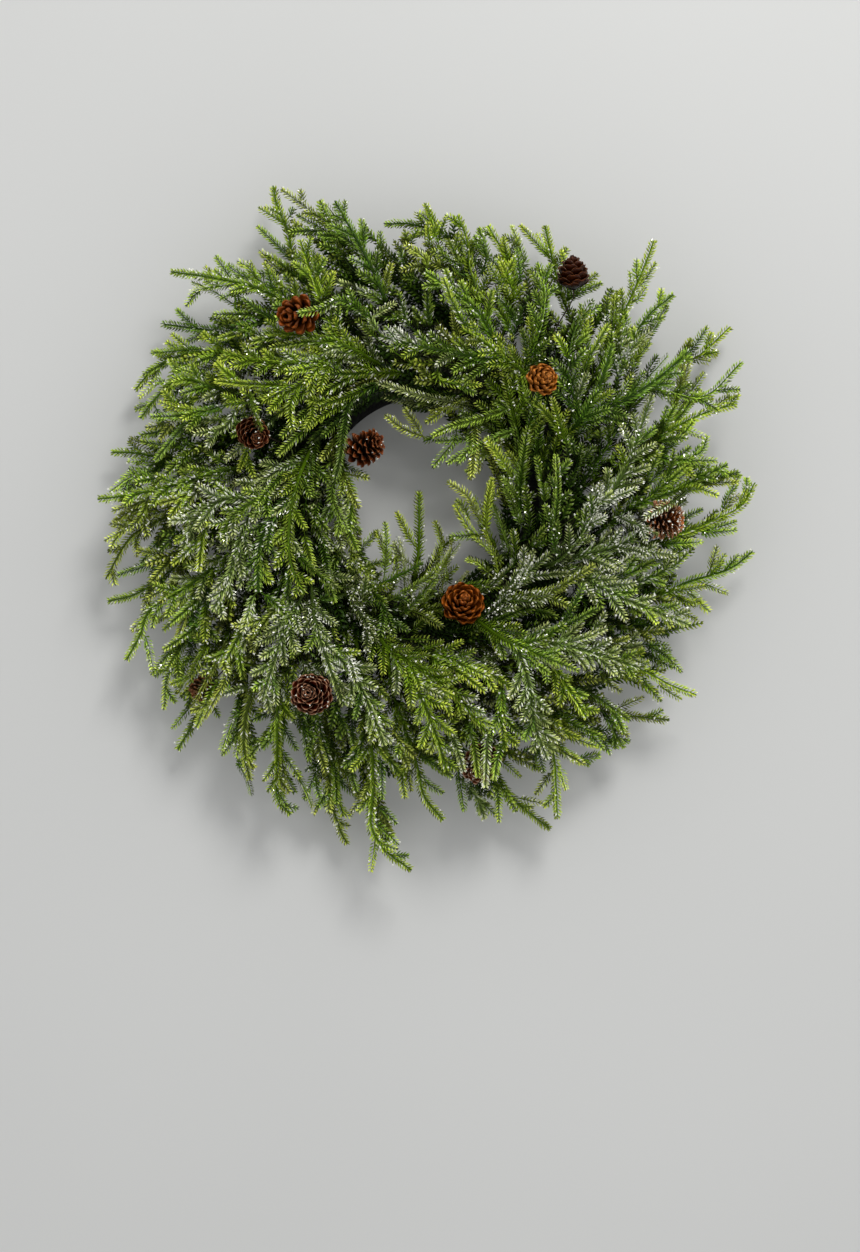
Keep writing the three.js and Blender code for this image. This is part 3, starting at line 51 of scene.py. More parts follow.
# Branch centre lines of each spray, root first, the same as the CAD solids'.
# 's' is a main stem, 'b' a twig with a bare stalk, 't' a twig clad from its start.
# The second letter is its foliage: Y yellow green, L light, G green, D deep, O olive,
# F frosted, M as its spray.
SPRAYS = {
    "inner_spray_01": [
        ("s", "Y", [(67.4, -47.1, 12.3), (60.3, -37.8, 14.3), (57.1, -15.3, 35), (48.6, -2.7, 36.5), (54.4, 40.2, 41.1)]),
        ("b", "O", [(48.8, -2.9, 36.5), (37.4, 17.8, 49.8), (32.4, 26.1, 51), (17.2, 36.9, 53.3)]),
        ("b", "G", [(51.1, -6.4, 36.1), (47.8, -7, 37.9), (42.7, 18.3, 40.4), (37.6, 26.7, 41.4)]),
        ("b", "Y", [(52.3, -8.1, 35.9), (40.1, -7.1, 42.6), (22.4, 19, 43.2)]),
        ("b", "D", [(51.1, -6.4, 36.1), (40.1, -7.1, 42.1), (18.1, -8.9, 45.2)]),
        ("b", "D", [(58.1, -22, 28.8), (65.6, -15.3, 34.5), (63.9, -2.6, 34.8), (56.3, 16.8, 35.3)]),
        ("b", "G", [(59.5, -32.3, 19.4), (53.2, -33.7, 24.7), (33.6, -26, 23.5)]),
        ("b", "D", [(59.3, -30.6, 21), (57.4, -29.4, 24.3), (43, -48.1, 24.5)]),
        ("t", "Y", [(49.3, -4.7, 44), (50.1, 15.5, 46), (54.4, 40.8, 44)]),
        ("t", "D", [(58.4, -24.3, 26.7), (67.8, -21.6, 46), (62.7, -3.1, 47), (55.2, 18.1, 44)]),
        ("t", "L", [(51.2, -37.4, 24.4), (51, -38.4, 44), (42.6, -31.6, 44), (31.7, -27.4, 42)]),
        ("t", "L", [(58.7, -26.5, 24.6), (61.1, -28.3, 46), (50.9, -18.3, 48), (39.2, -9.8, 46)]),
        ("t", "Y", [(49.2, -40.1, 24.4), (59.4, -40.9, 46), (56, -21.6, 48), (47.6, -1.4, 46)]),
        ("t", "L", [(35.9, 5.5, 42), (29.9, 17.2, 44), (23.2, 22.4, 42)]),
    ],
    "inner_spray_02": [
        ("s", "Y", [(-18.5, -74.1, 12.3), (-16.3, -62.3, 14.3), (-10.6, -40.7, 34.3), (-7.2, -15.4, 37.5), (-7.1, 28.3, 41.8)]),
        ("s", "O", [(-12.9, -49.3, 26.3), (-2.1, -38.1, 33.2), (14.8, -15.4, 37.7), (23.2, -9.5, 39.4)]),
        ("b", "O", [(14.1, -16.4, 37.5), (13.1, -11.3, 40.4), (5.5, 5.6, 39.5)]),
        ("b", "Y", [(-7.6, -18.8, 37), (-13, -13, 41.5), (-25.7, 11.5, 41.1)]),
        ("b", "F", [(-9.8, -34.7, 35.1), (-23.1, -24.1, 44.7), (-28.2, -12.3, 46.6)]),
        ("b", "G", [(-15.7, -59.8, 16.6), (2.1, -61.8, 26.5), (10.6, -46.4, 25.7), (26, -32.8, 24.8)]),
        ("t", "F", [(-13.1, -50.3, 25.4), (-19.9, -51.7, 36), (-20.6, -29.9, 42), (-23.1, -11.4, 44)]),
        ("t", "L", [(13.2, -44.1, 25.6), (17.3, -43.4, 42), (12.2, -19.8, 44), (7.2, 3.9, 42)]),
        ("t", "L", [(5.5, -55.6, 26.2), (2.1, -53.5, 42), (15.6, -29.9, 44), (27.4, -13.9, 42)]),
        ("t", "F", [(-17.4, -68.2, 13.3), (-13, -72.1, 46), (-14.7, -53.6, 48), (-20.6, -33.4, 48), (-24.8, -9.8, 46)]),
        ("t", "Y", [(-23.1, -24.1, 44.7), (-29.8, -28.3, 46), (-36.6, -18.2, 46), (-42.5, -3, 44)]),
        ("t", "L", [(-6.8, -60.8, 21.6), (-2.9, -65.3, 44), (5.5, -48.5, 46), (13.9, -31.7, 46), (20.7, -18.1, 44)]),
        ("t", "G", [(-17.4, -68.2, 13.3), (-19.7, -72.1, 50), (-7.9, -60.4, 52), (7.2, -43.5, 50)]),
        ("t", "O", [(2.1, -61.8, 26.5), (7.2, -67, 44), (20.7, -55.2, 46), (34.2, -38.3, 42)]),
        ("t", "L", [(-6.8, -60.8, 21.6), (-6.3, -67, 40), (-0.4, -48.4, 42), (7.2, -28.2, 42), (11.4, -10.5, 42)]),
        ("t", "O", [(5.5, -55.6, 26.2), (12.3, -58.5, 38), (15.6, -36.6, 42), (20.7, -19.8, 42), (20.7, -6.3, 42)]),
    ],
    "inner_spray_03": [
        ("s", "M", [(-79.5, -36.1, 12.3), (-70.1, -31.9, 14.3), (-52.5, -51.9, 47.3), (-23, -41.1, 54.3), (-3.7, -31.2, 59.3)]),
        ("b", "G", [(-36.8, -46.1, 51), (-34.7, -18.5, 54), (-35.6, 3.3, 55.1)]),
        ("b", "G", [(-68.5, -33.7, 17.3), (-64.2, -27.7, 27.4), (-57.3, -20.1, 37.1), (-42.8, -3.3, 31.4)]),
        ("b", "D", [(-67.2, -35.1, 19.7), (-66, -38.7, 38), (-53.1, -32, 32.3), (-31.8, -29.5, 28.6)]),
    ],
    "inner_spray_04": [
        ("s", "M", [(87, -19.8, 12.3), (78, -13.1, 14.3), (77.1, 18, 45.6), (76.8, 71.3, 52.8), (67.4, 101.9, 57.3), (60.7, 111, 58.8)]),
        ("b", "G", [(77.9, -9.7, 17.7), (103.8, 6, 48), (102, 39.7, 51.4), (99.3, 73.3, 38.5)]),
        ("b", "Y", [(70.4, 92.1, 55.9), (80.5, 104.5, 65.3), (68.8, 158.8, 64.6)]),
        ("b", "Y", [(76.8, 70.2, 52.7), (81.6, 77.6, 57.9), (98.3, 91.7, 59.6)]),
        ("b", "G", [(77, 34.2, 47.8), (73.5, 37.1, 50.3), (62.5, 57.1, 52.9), (49.1, 74.5, 55.3)]),
        ("t", "O", [(52.9, 69.5, 54.6), (49.3, 67.8, 44), (45.1, 57.7, 44), (42.6, 46, 42)]),
        ("t", "Y", [(70.9, 42, 52), (60.8, 56.8, 56), (49.1, 72.1, 54)]),
        ("t", "D", [(77.5, 4.7, 32.2), (78, 3.8, 44), (69.4, 24.6, 48), (61.8, 43.8, 50)]),
        ("t", "D", [(74, 80.5, 54.1), (61.1, 76.1, 46), (44.1, 67.3, 50), (29.9, 61.5, 50), (17.3, 53.2, 48)]),
        ("t", "G", [(54.8, 67, 54.3), (56, 67.6, 46), (44.2, 57.4, 48), (33.3, 46.6, 46)]),
        ("t", "G", [(68.3, 98.8, 56.9), (60.9, 95.7, 52), (40.7, 88.7, 56), (18.9, 82.8, 56), (3.8, 75.4, 54)]),
    ],
    "inner_spray_05": [
        ("s", "G", [(70.5, 93.2, 12.3), (61.3, 88, 14.3), (48.7, 101.4, 35.6), (14.8, 79.8, 41.1), (-2.9, 72.1, 43.4)]),
        ("b", "F", [(48.9, 101.2, 35.1), (-2, 107.2, 63.9), (-42.1, 119.7, 63.2)]),
        ("b", "Y", [(40.6, 96.3, 36.9), (23.2, 102, 47.2), (-2.1, 87, 45.9)]),
        ("t", "G", [(57.4, 92.2, 20.9), (48.9, 87.2, 42.7), (38.7, 77.6, 27.2)]),
        ("b", "O", [(1.7, 74.1, 42.8), (-18.9, 81.8, 48), (-34.8, 92.5, 50.8)]),
        ("b", "O", [(-1.8, 72.5, 43.2), (-8.8, 83.5, 48), (-18.9, 98.3, 51)]),
        ("b", "D", [(24.1, 85.8, 39.6), (23.2, 72.7, 46.6), (4.7, 49.7, 49.7)]),
        ("b", "D", [(37.3, 94.2, 37.4), (35.7, 66.3, 52.2), (25.6, 52.9, 52.9)]),
        ("b", "O", [(39, 95.2, 37.2), (40, 72.4, 49.3), (37.4, 40.5, 49.9)]),
        ("t", "O", [(39.2, 72.9, 44), (37.5, 57.5, 46), (35.8, 39.1, 44)]),
        ("t", "D", [(39.2, 62.8, 49.5), (35.9, 62.9, 42), (24.1, 52.8, 42)]),
        ("t", "D", [(39.2, 74.5, 44), (22.3, 72.5, 48), (7.2, 71.7, 48)]),
        ("t", "O", [(32.8, 103.1, 44.2), (32.4, 107.7, 50), (17.2, 99.7, 54), (0.5, 96.4, 54)]),
        ("t", "D", [(-39.2, 118.8, 63.2), (-62.9, 106.1, 66), (-68.6, 84.3, 68), (-71.9, 61, 68), (-77.2, 38, 62)]),
    ],
    "outer_spray_01": [
        ("s", "Y", [(96.8, -35.3, 12.2), (105, -36.8, 24.2), (136.8, -30, 46.3), (165.3, -21.9, 57), (186.4, -14.3, 55.2), (216, -5.8, 52.2), (241.5, 5.2, 49.8), (263.7, 17.1, 47.5), (275.7, 36.5, 45.5)]),
        ("s", "G", [(108.2, -36.1, 26.4), (165.3, 11.5, 60.3), (208.5, 30.2, 54.2), (230.6, 42.2, 50.6), (252, 51.6, 47.3)]),
        ("b", "O", [(248, 8.6, 49.1), (248.2, 12.2, 43.2), (262, 28, 47.3)]),
        ("b", "G", [(226.6, -1.3, 51.2), (233.6, -3, 45.4), (258.5, 3.6, 48.7)]),
        ("b", "G", [(226.6, -1.3, 51.2), (233.6, -5.6, 45.4), (259.6, -3.1, 47.1)]),
        ("b", "D", [(209, -7.9, 52.9), (216.1, 6.8, 51.7), (231, 14.2, 53.9)]),
        ("b", "G", [(190.9, -13.1, 54.7), (194.6, -14.4, 57.2), (228.6, -13.7, 60.4)]),
        ("t", "Y", [(204.1, 28.3, 54.8), (227.4, 30.8, 57.4), (243.8, 24.8, 59.2)]),
        ("b", "Y", [(204.1, 28.3, 54.8), (207.3, 35.9, 56.9), (220.4, 47.5, 58.5)]),
        ("b", "D", [(204.1, 28.3, 54.8), (210.1, 55.3, 54.3), (221, 67.1, 53.2)]),
        ("t", "F", [(163.2, 9.7, 59), (161.0, 6.8, 67), (175.4, -1.4, 83), (190.4, -8.7, 86)]),
        ("t", "F", [(217.4, 29.7, 56.3), (214.5, 27.0, 65), (201.6, 18.3, 83), (178.3, 5, 90)]),
    ],
    "outer_spray_02": [
        ("s", "G", [(87.8, -51, 9.5), (99.7, -57.8, 11), (129.4, -61.8, 30), (162.9, -61.9, 34.9), (197.1, -56.7, 32.1), (221, -46.5, 30), (241.6, -40.6, 28.3), (259.6, -33.7, 26.8), (276, -20.9, 25.1)]),
        ("s", "D", [(120.5, -60.6, 24.3), (146.6, -78.8, 27.1), (185.4, -85.6, 20.7), (206.2, -91.5, 17.2)]),
        ("b", "G", [(193.6, -87.9, 19.3), (197.5, -102.5, 27.7), (215.8, -122.9, 31.5)]),
        ("b", "O", [(236.7, -42, 28.7), (239.4, -36.4, 32.3), (245, -17, 35.6)]),
        ("b", "Y", [(236.7, -42, 28.7), (239.6, -40.6, 30.6), (253.2, -22, 30.9)]),
        ("b", "Y", [(227.7, -44.6, 29.5), (229.4, -45.7, 30.6), (253.4, -55.9, 35.8)]),
        ("b", "Y", [(214.5, -49.3, 30.6), (227.4, -61.9, 41), (238.1, -72.1, 43.3)]),
        ("b", "Y", [(205.9, -53, 31.4), (215, -61.9, 38.7), (223.3, -64.4, 40.1), (231.6, -62.8, 41.6)]),
        ("b", "Y", [(192.7, -57.4, 32.5), (202.3, -65.3, 39.6), (226.6, -78, 41.1)]),
        ("b", "O", [(200.4, -89.9, 18.1), (204.9, -87.3, 21.2), (214.1, -83, 23.1)]),
        ("b", "D", [(186.9, -86, 20.4), (190.5, -101.7, 29.4), (206.4, -104.2, 32.4)]),
        ("b", "F", [(120.5, -60.6, 24.3), (122, -57.5, 26.1), (139.8, -38, 27)]),
        ("b", "F", [(138.5, -73.2, 26.2), (138, -77.1, 28.4), (148, -87.3, 30.2), (160.6, -94.9, 32)]),
    ],
    "outer_spray_03": [
        ("s", "Y", [(56.6, -74.2, 12.2), (63, -79.9, 24.2), (102.9, -97.3, 51.7), (144.7, -110.7, 52.7), (182.9, -122.5, 48.4), (204.1, -133.5, 45.9), (226.3, -142, 43.4)]),
        ("b", "L", [(180.8, -121.9, 48.7), (183.4, -131.9, 42.7), (197.5, -147.9, 45)]),
        ("b", "Y", [(196.2, -129.4, 46.9), (196.2, -133.6, 40.9), (214.9, -146.3, 39.6)]),
        ("b", "O", [(143.9, -110.4, 52.6), (151.5, -130.8, 52.5), (163, -139.2, 55.1)]),
    ],
    "outer_spray_04": [
        ("s", "O", [(37.5, -86, 9.5), (44.7, -97.4, 11), (78.4, -119.5, 31.5), (120.9, -146.6, 30.7), (156.7, -157.8, 27.6), (205.6, -163.9, 23.4)]),
        ("s", "D", [(75.1, -117.3, 29.5), (95.1, -151.5, 36.9), (131, -166.1, 31.8), (161.9, -185.8, 27)]),
        ("b", "Y", [(113.2, -158.9, 34.3), (118.4, -175.7, 44.4), (143.5, -185.7, 46.3)]),
        ("b", "O", [(154.2, -157, 27.8), (155.5, -164.4, 32.1), (169, -176.2, 33.6)]),
        ("b", "O", [(158.5, -158, 27.4), (163.2, -153.4, 31.1), (181.8, -144.9, 32.3)]),
        ("t", "G", [(147.8, -155, 28.4), (150.7, -159.8, 40), (159.6, -174.5, 34), (166.9, -187.5, 28)]),
    ],
    "outer_spray_05": [
        ("s", "Y", [(27.7, -85.9, 12.2), (31.7, -93.7, 24.2), (60.8, -120.8, 53), (86, -154.3, 53.4), (104.6, -188, 49.5), (108.2, -221, 46.2), (109.1, -244.8, 43.9)]),
        ("b", "O", [(106.5, -205.7, 47.8), (105, -207.8, 41.8), (90.7, -226.5, 41)]),
        ("b", "Y", [(106, -201.1, 48.2), (110.1, -203.6, 42.2), (116.9, -222.2, 41.4)]),
        ("b", "D", [(95.6, -171.7, 51.4), (92.9, -181.3, 49.2), (97.7, -207, 54.7)]),
        ("b", "D", [(97.8, -175.7, 50.9), (88.8, -192.4, 45.8), (90.5, -205.9, 46.7)]),
        ("b", "O", [(100, -179.7, 50.5), (109.9, -183.2, 45.5), (114.9, -190.8, 45.7), (131.7, -200, 46.3)]),
        ("b", "F", [(43.4, -104.5, 35.8), (44.4, -99.9, 37.1), (54.5, -116.8, 39.8), (51, -137.8, 42.7), (55.2, -150.4, 44.5)]),
    ],
    "outer_spray_06": [
        ("s", "Y", [(-4.8, -92.8, 9.5), (-2.1, -106, 11), (19.1, -138.1, 32.9), (42.8, -184.6, 34.3), (64, -220.4, 30.9), (76, -234.1, 29.4), (103.3, -255.5, 26.6)]),
        ("s", "D", [(23.8, -147.4, 33.2), (25.8, -180.3, 36.8), (39.4, -207.6, 32.4), (44.6, -231.6, 28.6), (45.5, -243.6, 26.8)]),
        ("b", "D", [(30.9, -190.5, 35.1), (25.8, -201.1, 41.9), (30.7, -238.5, 48.5)]),
        ("b", "L", [(56.8, -208.1, 32.1), (56.3, -214.2, 35.5), (59.6, -226.6, 38.4), (60.3, -249, 43.3)]),
        ("b", "O", [(72.8, -230.4, 29.8), (76.7, -229.6, 32.1), (96.9, -233.6, 36.2)]),
        ("b", "L", [(49.7, -196.3, 33.2), (61.2, -197, 39.7), (78, -211.1, 43.1)]),
    ],
    "outer_spray_07": [
        ("s", "Y", [(-34.1, -85.3, 12.2), (-34.8, -94, 24.2), (-29.7, -137.6, 53), (-18.8, -171.1, 54), (-8.8, -200.6, 50.2), (-2.9, -226.9, 46.9), (13.1, -247.3, 43.7)]),
        ("b", "Y", [(-11.4, -193.1, 51.2), (-20.6, -206.7, 47.4), (-18.9, -229.2, 49.4)]),
        ("b", "O", [(-9, -200, 50.3), (-15.5, -209.3, 46.4), (-13.9, -222.7, 46)]),
        ("t", "G", [(-8, -204.2, 49.7), (-2.1, -214.1, 49), (13.1, -224.3, 47.9)]),
        ("b", "G", [(-11.4, -193.1, 51.2), (2.1, -198, 51.2), (21.4, -211.5, 50.9)]),
    ],
    "outer_spray_08": [
        ("s", "Y", [(-60.7, -74.5, 12.2), (-62.3, -82.8, 24.2), (-55, -129.3, 48.2), (-48.1, -171, 54.6), (-45.7, -213.2, 51), (-47.5, -251.2, 47.8), (-35.7, -272.4, 45.8), (-13.9, -289.5, 43.5)]),
        ("b", "D", [(-47.2, -187.3, 53.2), (-63.5, -200.8, 47.2), (-59.3, -224.3, 47.1)]),
        ("b", "Y", [(-42.1, -260.9, 46.9), (-44.3, -264.4, 40.9), (-47.7, -290.7, 39.8)]),
        ("b", "G", [(-47.2, -251.6, 47.8), (-41.7, -252.5, 41.8), (-24, -268.6, 41.1)]),
        ("b", "D", [(-46.7, -235.5, 49.2), (-38.3, -238.9, 43.2), (-26.5, -250, 42.4)]),
        ("b", "O", [(-46, -219.4, 50.5), (-52.6, -226.2, 44.5), (-63.5, -239.6, 46.2)]),
        ("b", "D", [(-46.9, -192.7, 52.8), (-39.9, -196.4, 50.3), (-38.1, -229.8, 53.1)]),
        ("b", "L", [(-58.6, -106.8, 36.6), (-57, -108.4, 37.3), (-19.8, -132, 37.7)]),
        ("t", "F", [(-62.3, -82.8, 24.2), (-63.4, -72.1, 50), (-51.6, -58.7, 52), (-34.8, -48.6, 50)]),
    ],
    "outer_spray_09": [
        ("s", "O", [(-79.8, -63.7, 9.5), (-86.3, -75.5, 11), (-89.7, -112.8, 26.3), (-87.1, -159.5, 27.5), (-83, -227.8, 22.3), (-73.8, -259.5, 19.7), (-68.7, -269, 18.9)]),
        ("b", "D", [(-87.8, -145.8, 27.2), (-105.1, -159, 39.6), (-100.1, -197.9, 38.5)]),
        ("b", "D", [(-85.6, -184.9, 25.5), (-87, -189.2, 28.2), (-104.7, -230.5, 31.9)]),
        ("b", "O", [(-84.1, -209.5, 23.7), (-82.9, -213.1, 25.8), (-96.2, -242.5, 30.7)]),
        ("t", "O", [(-85.3, -189.8, 25.2), (-82.8, -210.5, 26.9), (-83.6, -243.4, 29.8)]),
        ("b", "Y", [(-81.3, -233.8, 21.8), (-74.4, -236, 25.7), (-70.9, -242.8, 26.7), (-65, -245.2, 27.6)]),
    ],
    "outer_spray_10": [
        ("s", "Y", [(-95.1, -43.4, 12.2), (-100.2, -50.3, 24.2), (-115.4, -95.6, 51.3), (-125.3, -145.9, 53), (-126.5, -192.3, 48.7), (-126.7, -227.8, 45.4), (-115.8, -242.3, 43.7)]),
        ("s", "O", [(-113.9, -91.1, 48.6), (-138.5, -119, 56.5), (-152.2, -158.5, 52.5), (-154.2, -188.9, 48.3), (-149.4, -212.7, 44.9)]),
        ("b", "G", [(-151.2, -155.5, 52.8), (-161.9, -158.7, 46.8), (-173.5, -188.9, 48.7)]),
        ("b", "L", [(-152.9, -168.4, 51.1), (-157.9, -171.4, 45.1), (-160.9, -195.6, 49.1)]),
        ("t", "D", [(-125.9, -170.1, 50.8), (-139.2, -187.3, 47.1)]),
        ("b", "D", [(-125.8, -165.3, 51.2), (-120.6, -169.6, 48.9), (-109.6, -188, 50.1)]),
        ("b", "F", [(-143.6, -133.8, 55), (-148.8, -134.2, 53.5), (-172.8, -141.6, 56.8)]),
        ("b", "L", [(-126.3, -184.6, 49.4), (-124.3, -188.4, 43.4), (-107.1, -211.6, 49.5)]),
        ("t", "O", [(-138.5, -119, 56.5), (-162, -112.3, 56), (-171.4, -133.9, 64), (-187.9, -161.2, 48)]),
        ("t", "L", [(-163.8, -138.8, 55.6), (-177.4, -132.5, 52), (-185.6, -147.6, 54), (-195.4, -170, 40)]),
        ("t", "G", [(-151.8, -200.8, 46.6), (-158.7, -200.7, 34), (-152.3, -214.5, 30), (-149.3, -228.5, 24)]),
        ("t", "L", [(-109, -209, 48.8), (-109.4, -210.6, 38), (-103, -224.6, 32), (-98.2, -237.7, 26)]),
    ],
    "outer_spray_11": [
        ("s", "L", [(-110.2, -21.9, 9.5), (-121.7, -29.4, 11), (-154.9, -70.3, 28.8), (-180.6, -108.5, 26.1), (-195.5, -158, 22), (-212.8, -188.8, 19.1)]),
        ("b", "L", [(-178, -104.6, 26.4), (-216.1, -121.1, 36.2), (-222.8, -153.2, 36.6)]),
        ("b", "G", [(-192.7, -148.7, 22.8), (-198.5, -149.3, 26.1), (-217.3, -171.5, 25.2)]),
        ("b", "G", [(-190, -139.8, 23.5), (-184.7, -146.7, 28.2), (-176.8, -161, 31)]),
        ("b", "L", [(-180.1, -107.7, 26.2), (-183, -108.5, 27.5), (-180.6, -126.4, 26.6)]),
        ("t", "O", [(-175.5, -100.9, 26.6), (-172.2, -102.3, 54), (-183.2, -125.6, 62), (-197.6, -151, 52)]),
        ("t", "Y", [(-186.2, -108.1, 28.5), (-186, -100.7, 50), (-195.3, -119, 58), (-210, -141.1, 46)]),
    ],
    "outer_spray_12": [
        ("s", "L", [(-116.7, 10.2, 12.2), (-124.7, 7, 24.2), (-165.7, -24.3, 52.3), (-203.6, -51.9, 50.3), (-233.5, -70.4, 46.7), (-242.2, -91.4, 44.3), (-253.4, -111.7, 41.9)]),
        ("b", "O", [(-235, -74.1, 46.2), (-240.1, -77.1, 40.2), (-250.2, -88.1, 40.4)]),
        ("b", "L", [(-241.7, -90.2, 44.4), (-237.8, -94, 38.4), (-231.4, -121.8, 42.5)]),
    ],
    "outer_spray_13": [
        ("s", "O", [(-119.7, 33.3, 9.5), (-133.6, 32.5, 11), (-167.2, 22.8, 33.8), (-209.5, 12.6, 34.5), (-243.8, -2.5, 31.2), (-257.5, -16, 29.4), (-273.2, -43.9, 26.6)]),
        ("s", "L", [(-153.8, 26.7, 24.7), (-192.5, -15.3, 35.5), (-222.5, -40.6, 31.5), (-247.5, -56.7, 28.5), (-270.7, -62.6, 26.1)]),
        ("b", "D", [(-213.4, -32.9, 32.7), (-225.8, -30.7, 40.2), (-261.6, -40.9, 43.5)]),
        ("t", "O", [(-248.4, -7, 30.6), (-246, -24.6, 34)]),
    ],
    "outer_spray_14": [
        ("s", "L", [(-114.4, 51.5, 12.2), (-123.3, 52.1, 24.2), (-161, 48.3, 58.1), (-202.7, 36.5, 59.2), (-245.2, 26.8, 54.1), (-276.7, 22.8, 50.4)]),
        ("b", "G", [(-224.6, 31.5, 56.6), (-239.7, 42.9, 50.6), (-249.8, 40.4, 50.5), (-265.8, 29.5, 50.5)]),
        ("b", "O", [(-232.1, 29.8, 55.7), (-237.3, 22, 49.7), (-264.6, 12.6, 53.1)]),
        ("b", "O", [(-232.1, 29.8, 55.7), (-237.3, 15.3, 49.7), (-241.4, 7.7, 50.7), (-247.1, 0.9, 51.7), (-271, -12.6, 55.1)]),
        ("b", "L", [(-198.3, 37.8, 59.1), (-201, 40.7, 59.8), (-212.7, 24, 59.9)]),
    ],
    "outer_spray_15": [
        ("s", "L", [(-109.1, 75.9, 9.5), (-122.3, 79.3, 11), (-159, 73.9, 30.5), (-214.6, 58.9, 26.5), (-248.1, 63.4, 23.2), (-268, 64.4, 21.2)]),
        ("b", "O", [(-223.9, 60.2, 25.6), (-227, 65.5, 29.2), (-254, 75.6, 30.8)]),
        ("b", "G", [(-223.9, 60.2, 25.6), (-227.1, 55.4, 28.8), (-253.9, 56, 31.2)]),
        ("b", "D", [(-220.1, 59.7, 26), (-230.6, 48.2, 34.7), (-243.4, 46.5, 34.5), (-253.5, 49.1, 34.3)]),
        ("b", "L", [(-172.5, 70.3, 29.5), (-174.3, 69.7, 30.6), (-178.3, 55.9, 32.7), (-175.4, 29.5, 36.6)]),
        ("b", "L", [(-172.5, 70.3, 29.5), (-170.7, 63.5, 33.2), (-160.2, 43, 37)]),
    ],
    "outer_spray_16": [
        ("s", "L", [(-96.5, 91.8, 12.2), (-104.5, 95.6, 24.2), (-140.2, 105.4, 55.9), (-177.8, 115.3, 57.3), (-207.5, 124.1, 53.7), (-227.1, 108.4, 50.7), (-240.9, 91, 48)]),
        ("b", "Y", [(-215.9, 117.4, 52.4), (-226.8, 121.5, 46.4), (-241.9, 108.8, 46.6)]),
        ("b", "D", [(-230, 104.8, 50.1), (-223.2, 82.6, 48.1), (-240.8, 76.7, 48.9)]),
    ],
    "outer_spray_17": [
        ("s", "Y", [(-83.5, 110.9, 9.5), (-94.4, 119.5, 11), (-129.2, 134.8, 32.3), (-171.6, 148.4, 31.8), (-210.1, 145.4, 28.4), (-232.5, 134.6, 26.2), (-248, 117.8, 24.2)]),
        ("s", "D", [(-146.2, 140.2, 32.1), (-171.8, 163.1, 29.3), (-202.1, 169.7, 24.1), (-227.2, 173.7, 19.8)]),
        ("b", "Y", [(-195.6, 146.5, 29.7), (-198.7, 148.4, 31.9), (-216.2, 163.2, 35.3)]),
        ("b", "G", [(-187, 147.2, 30.5), (-192.6, 150.6, 34.4), (-235, 147.4, 33.3)]),
        ("b", "G", [(-208.3, 145.5, 28.6), (-210, 145.3, 29.6), (-240.2, 129.7, 32.4)]),
    ],
    "outer_spray_18": [
        ("s", "L", [(-59.4, 125.4, 12.2), (-64.6, 132.7, 24.2), (-98.4, 170.9, 54.6), (-138.9, 198.1, 51.7), (-180.4, 208.9, 47.3), (-215.3, 214.4, 43.7)]),
        ("b", "Y", [(-121.3, 186.3, 53), (-121, 196.8, 55.5), (-136.9, 220.2, 55.4)]),
        ("b", "G", [(-165, 204.9, 48.9), (-168.1, 212, 42.9), (-179.1, 228.9, 43)]),
        ("b", "L", [(-135.8, 196, 51.9), (-136.5, 203.4, 49.8), (-143.9, 208.3, 51), (-149.7, 216.5, 52.4), (-159.7, 222.1, 53.9)]),
        ("b", "L", [(-152.3, 201.6, 50.3), (-153.6, 205, 45.2), (-194.8, 198.9, 46.4), (-200.6, 193, 46.7)]),
        ("b", "Y", [(-177.8, 208.2, 47.6), (-181.8, 210.5, 41.6), (-186.8, 218.1, 41.9)]),
        ("b", "D", [(-148, 200.5, 50.8), (-151, 203.1, 46.4), (-174.3, 190.9, 49.4)]),
        ("t", "L", [(-159.7, 198.5, 47.5), (-162.1, 188.8, 34), (-181.3, 200.6, 28), (-200.6, 209.1, 22)]),
    ],
    "outer_spray_19": [
        ("s", "Y", [(-35.4, 139.2, 9.5), (-41.9, 151, 11), (-78.4, 179.7, 32.2), (-110.7, 218.3, 29.2), (-118.6, 251.9, 26.3), (-128, 274.4, 24.2), (-131.5, 290.8, 22.7)]),
        ("b", "Y", [(-118.3, 250.9, 26.3), (-118.5, 253.3, 27.8), (-121, 257.4, 28.8), (-143.5, 270.9, 34.1)]),
        ("t", "G", [(-112.4, 225.3, 28.6), (-143.9, 255, 28)]),
        ("b", "O", [(-109.7, 217.1, 29.3), (-123.8, 217.1, 37.4), (-142.1, 233.3, 41.3)]),
        ("b", "G", [(-121.6, 259, 25.6), (-116.7, 264, 29.7), (-114.1, 271.8, 29.2)]),
        ("b", "Y", [(-73, 175.5, 29.1), (-69.8, 185.2, 35.4), (-111.4, 181.2, 33.4)]),
    ],
    "outer_spray_20": [
        ("s", "D", [(-15.5, 140, 12.2), (-17.9, 148.6, 24.2), (-35.5, 188.7, 59.7), (-52.3, 227, 54.9), (-77.7, 273.5, 47.9)]),
        ("b", "O", [(-65.1, 250.4, 51.4), (-86.3, 257.1, 45.4), (-123, 283.1, 50.5)]),
        ("b", "G", [(-47.8, 216.8, 56.1), (-38.9, 234.7, 53.8), (-39.7, 246.1, 55.8)]),
        ("b", "G", [(-53.6, 229.3, 54.5), (-52.4, 233.1, 53.4), (-55.8, 258.5, 52.4)]),
        ("b", "G", [(-63.5, 247.4, 51.8), (-77.8, 251.2, 45.8), (-90.3, 274.2, 48.7)]),
        ("t", "L", [(-59.8, 240.7, 52.8), (-65.5, 237.6, 36), (-74.2, 257.2, 30), (-86.3, 274.9, 26)]),
    ],
    "outer_spray_21": [
        ("s", "G", [(30.3, 138.7, 9.5), (33.3, 152.3, 11), (37.7, 192, 35.5), (23.3, 240.7, 32.1), (-10.6, 256.6, 28.5), (-35.3, 257.9, 26.1)]),
        ("b", "Y", [(8.3, 247.8, 30.5), (8.1, 252.4, 33.3), (-2.1, 273.5, 38.4)]),
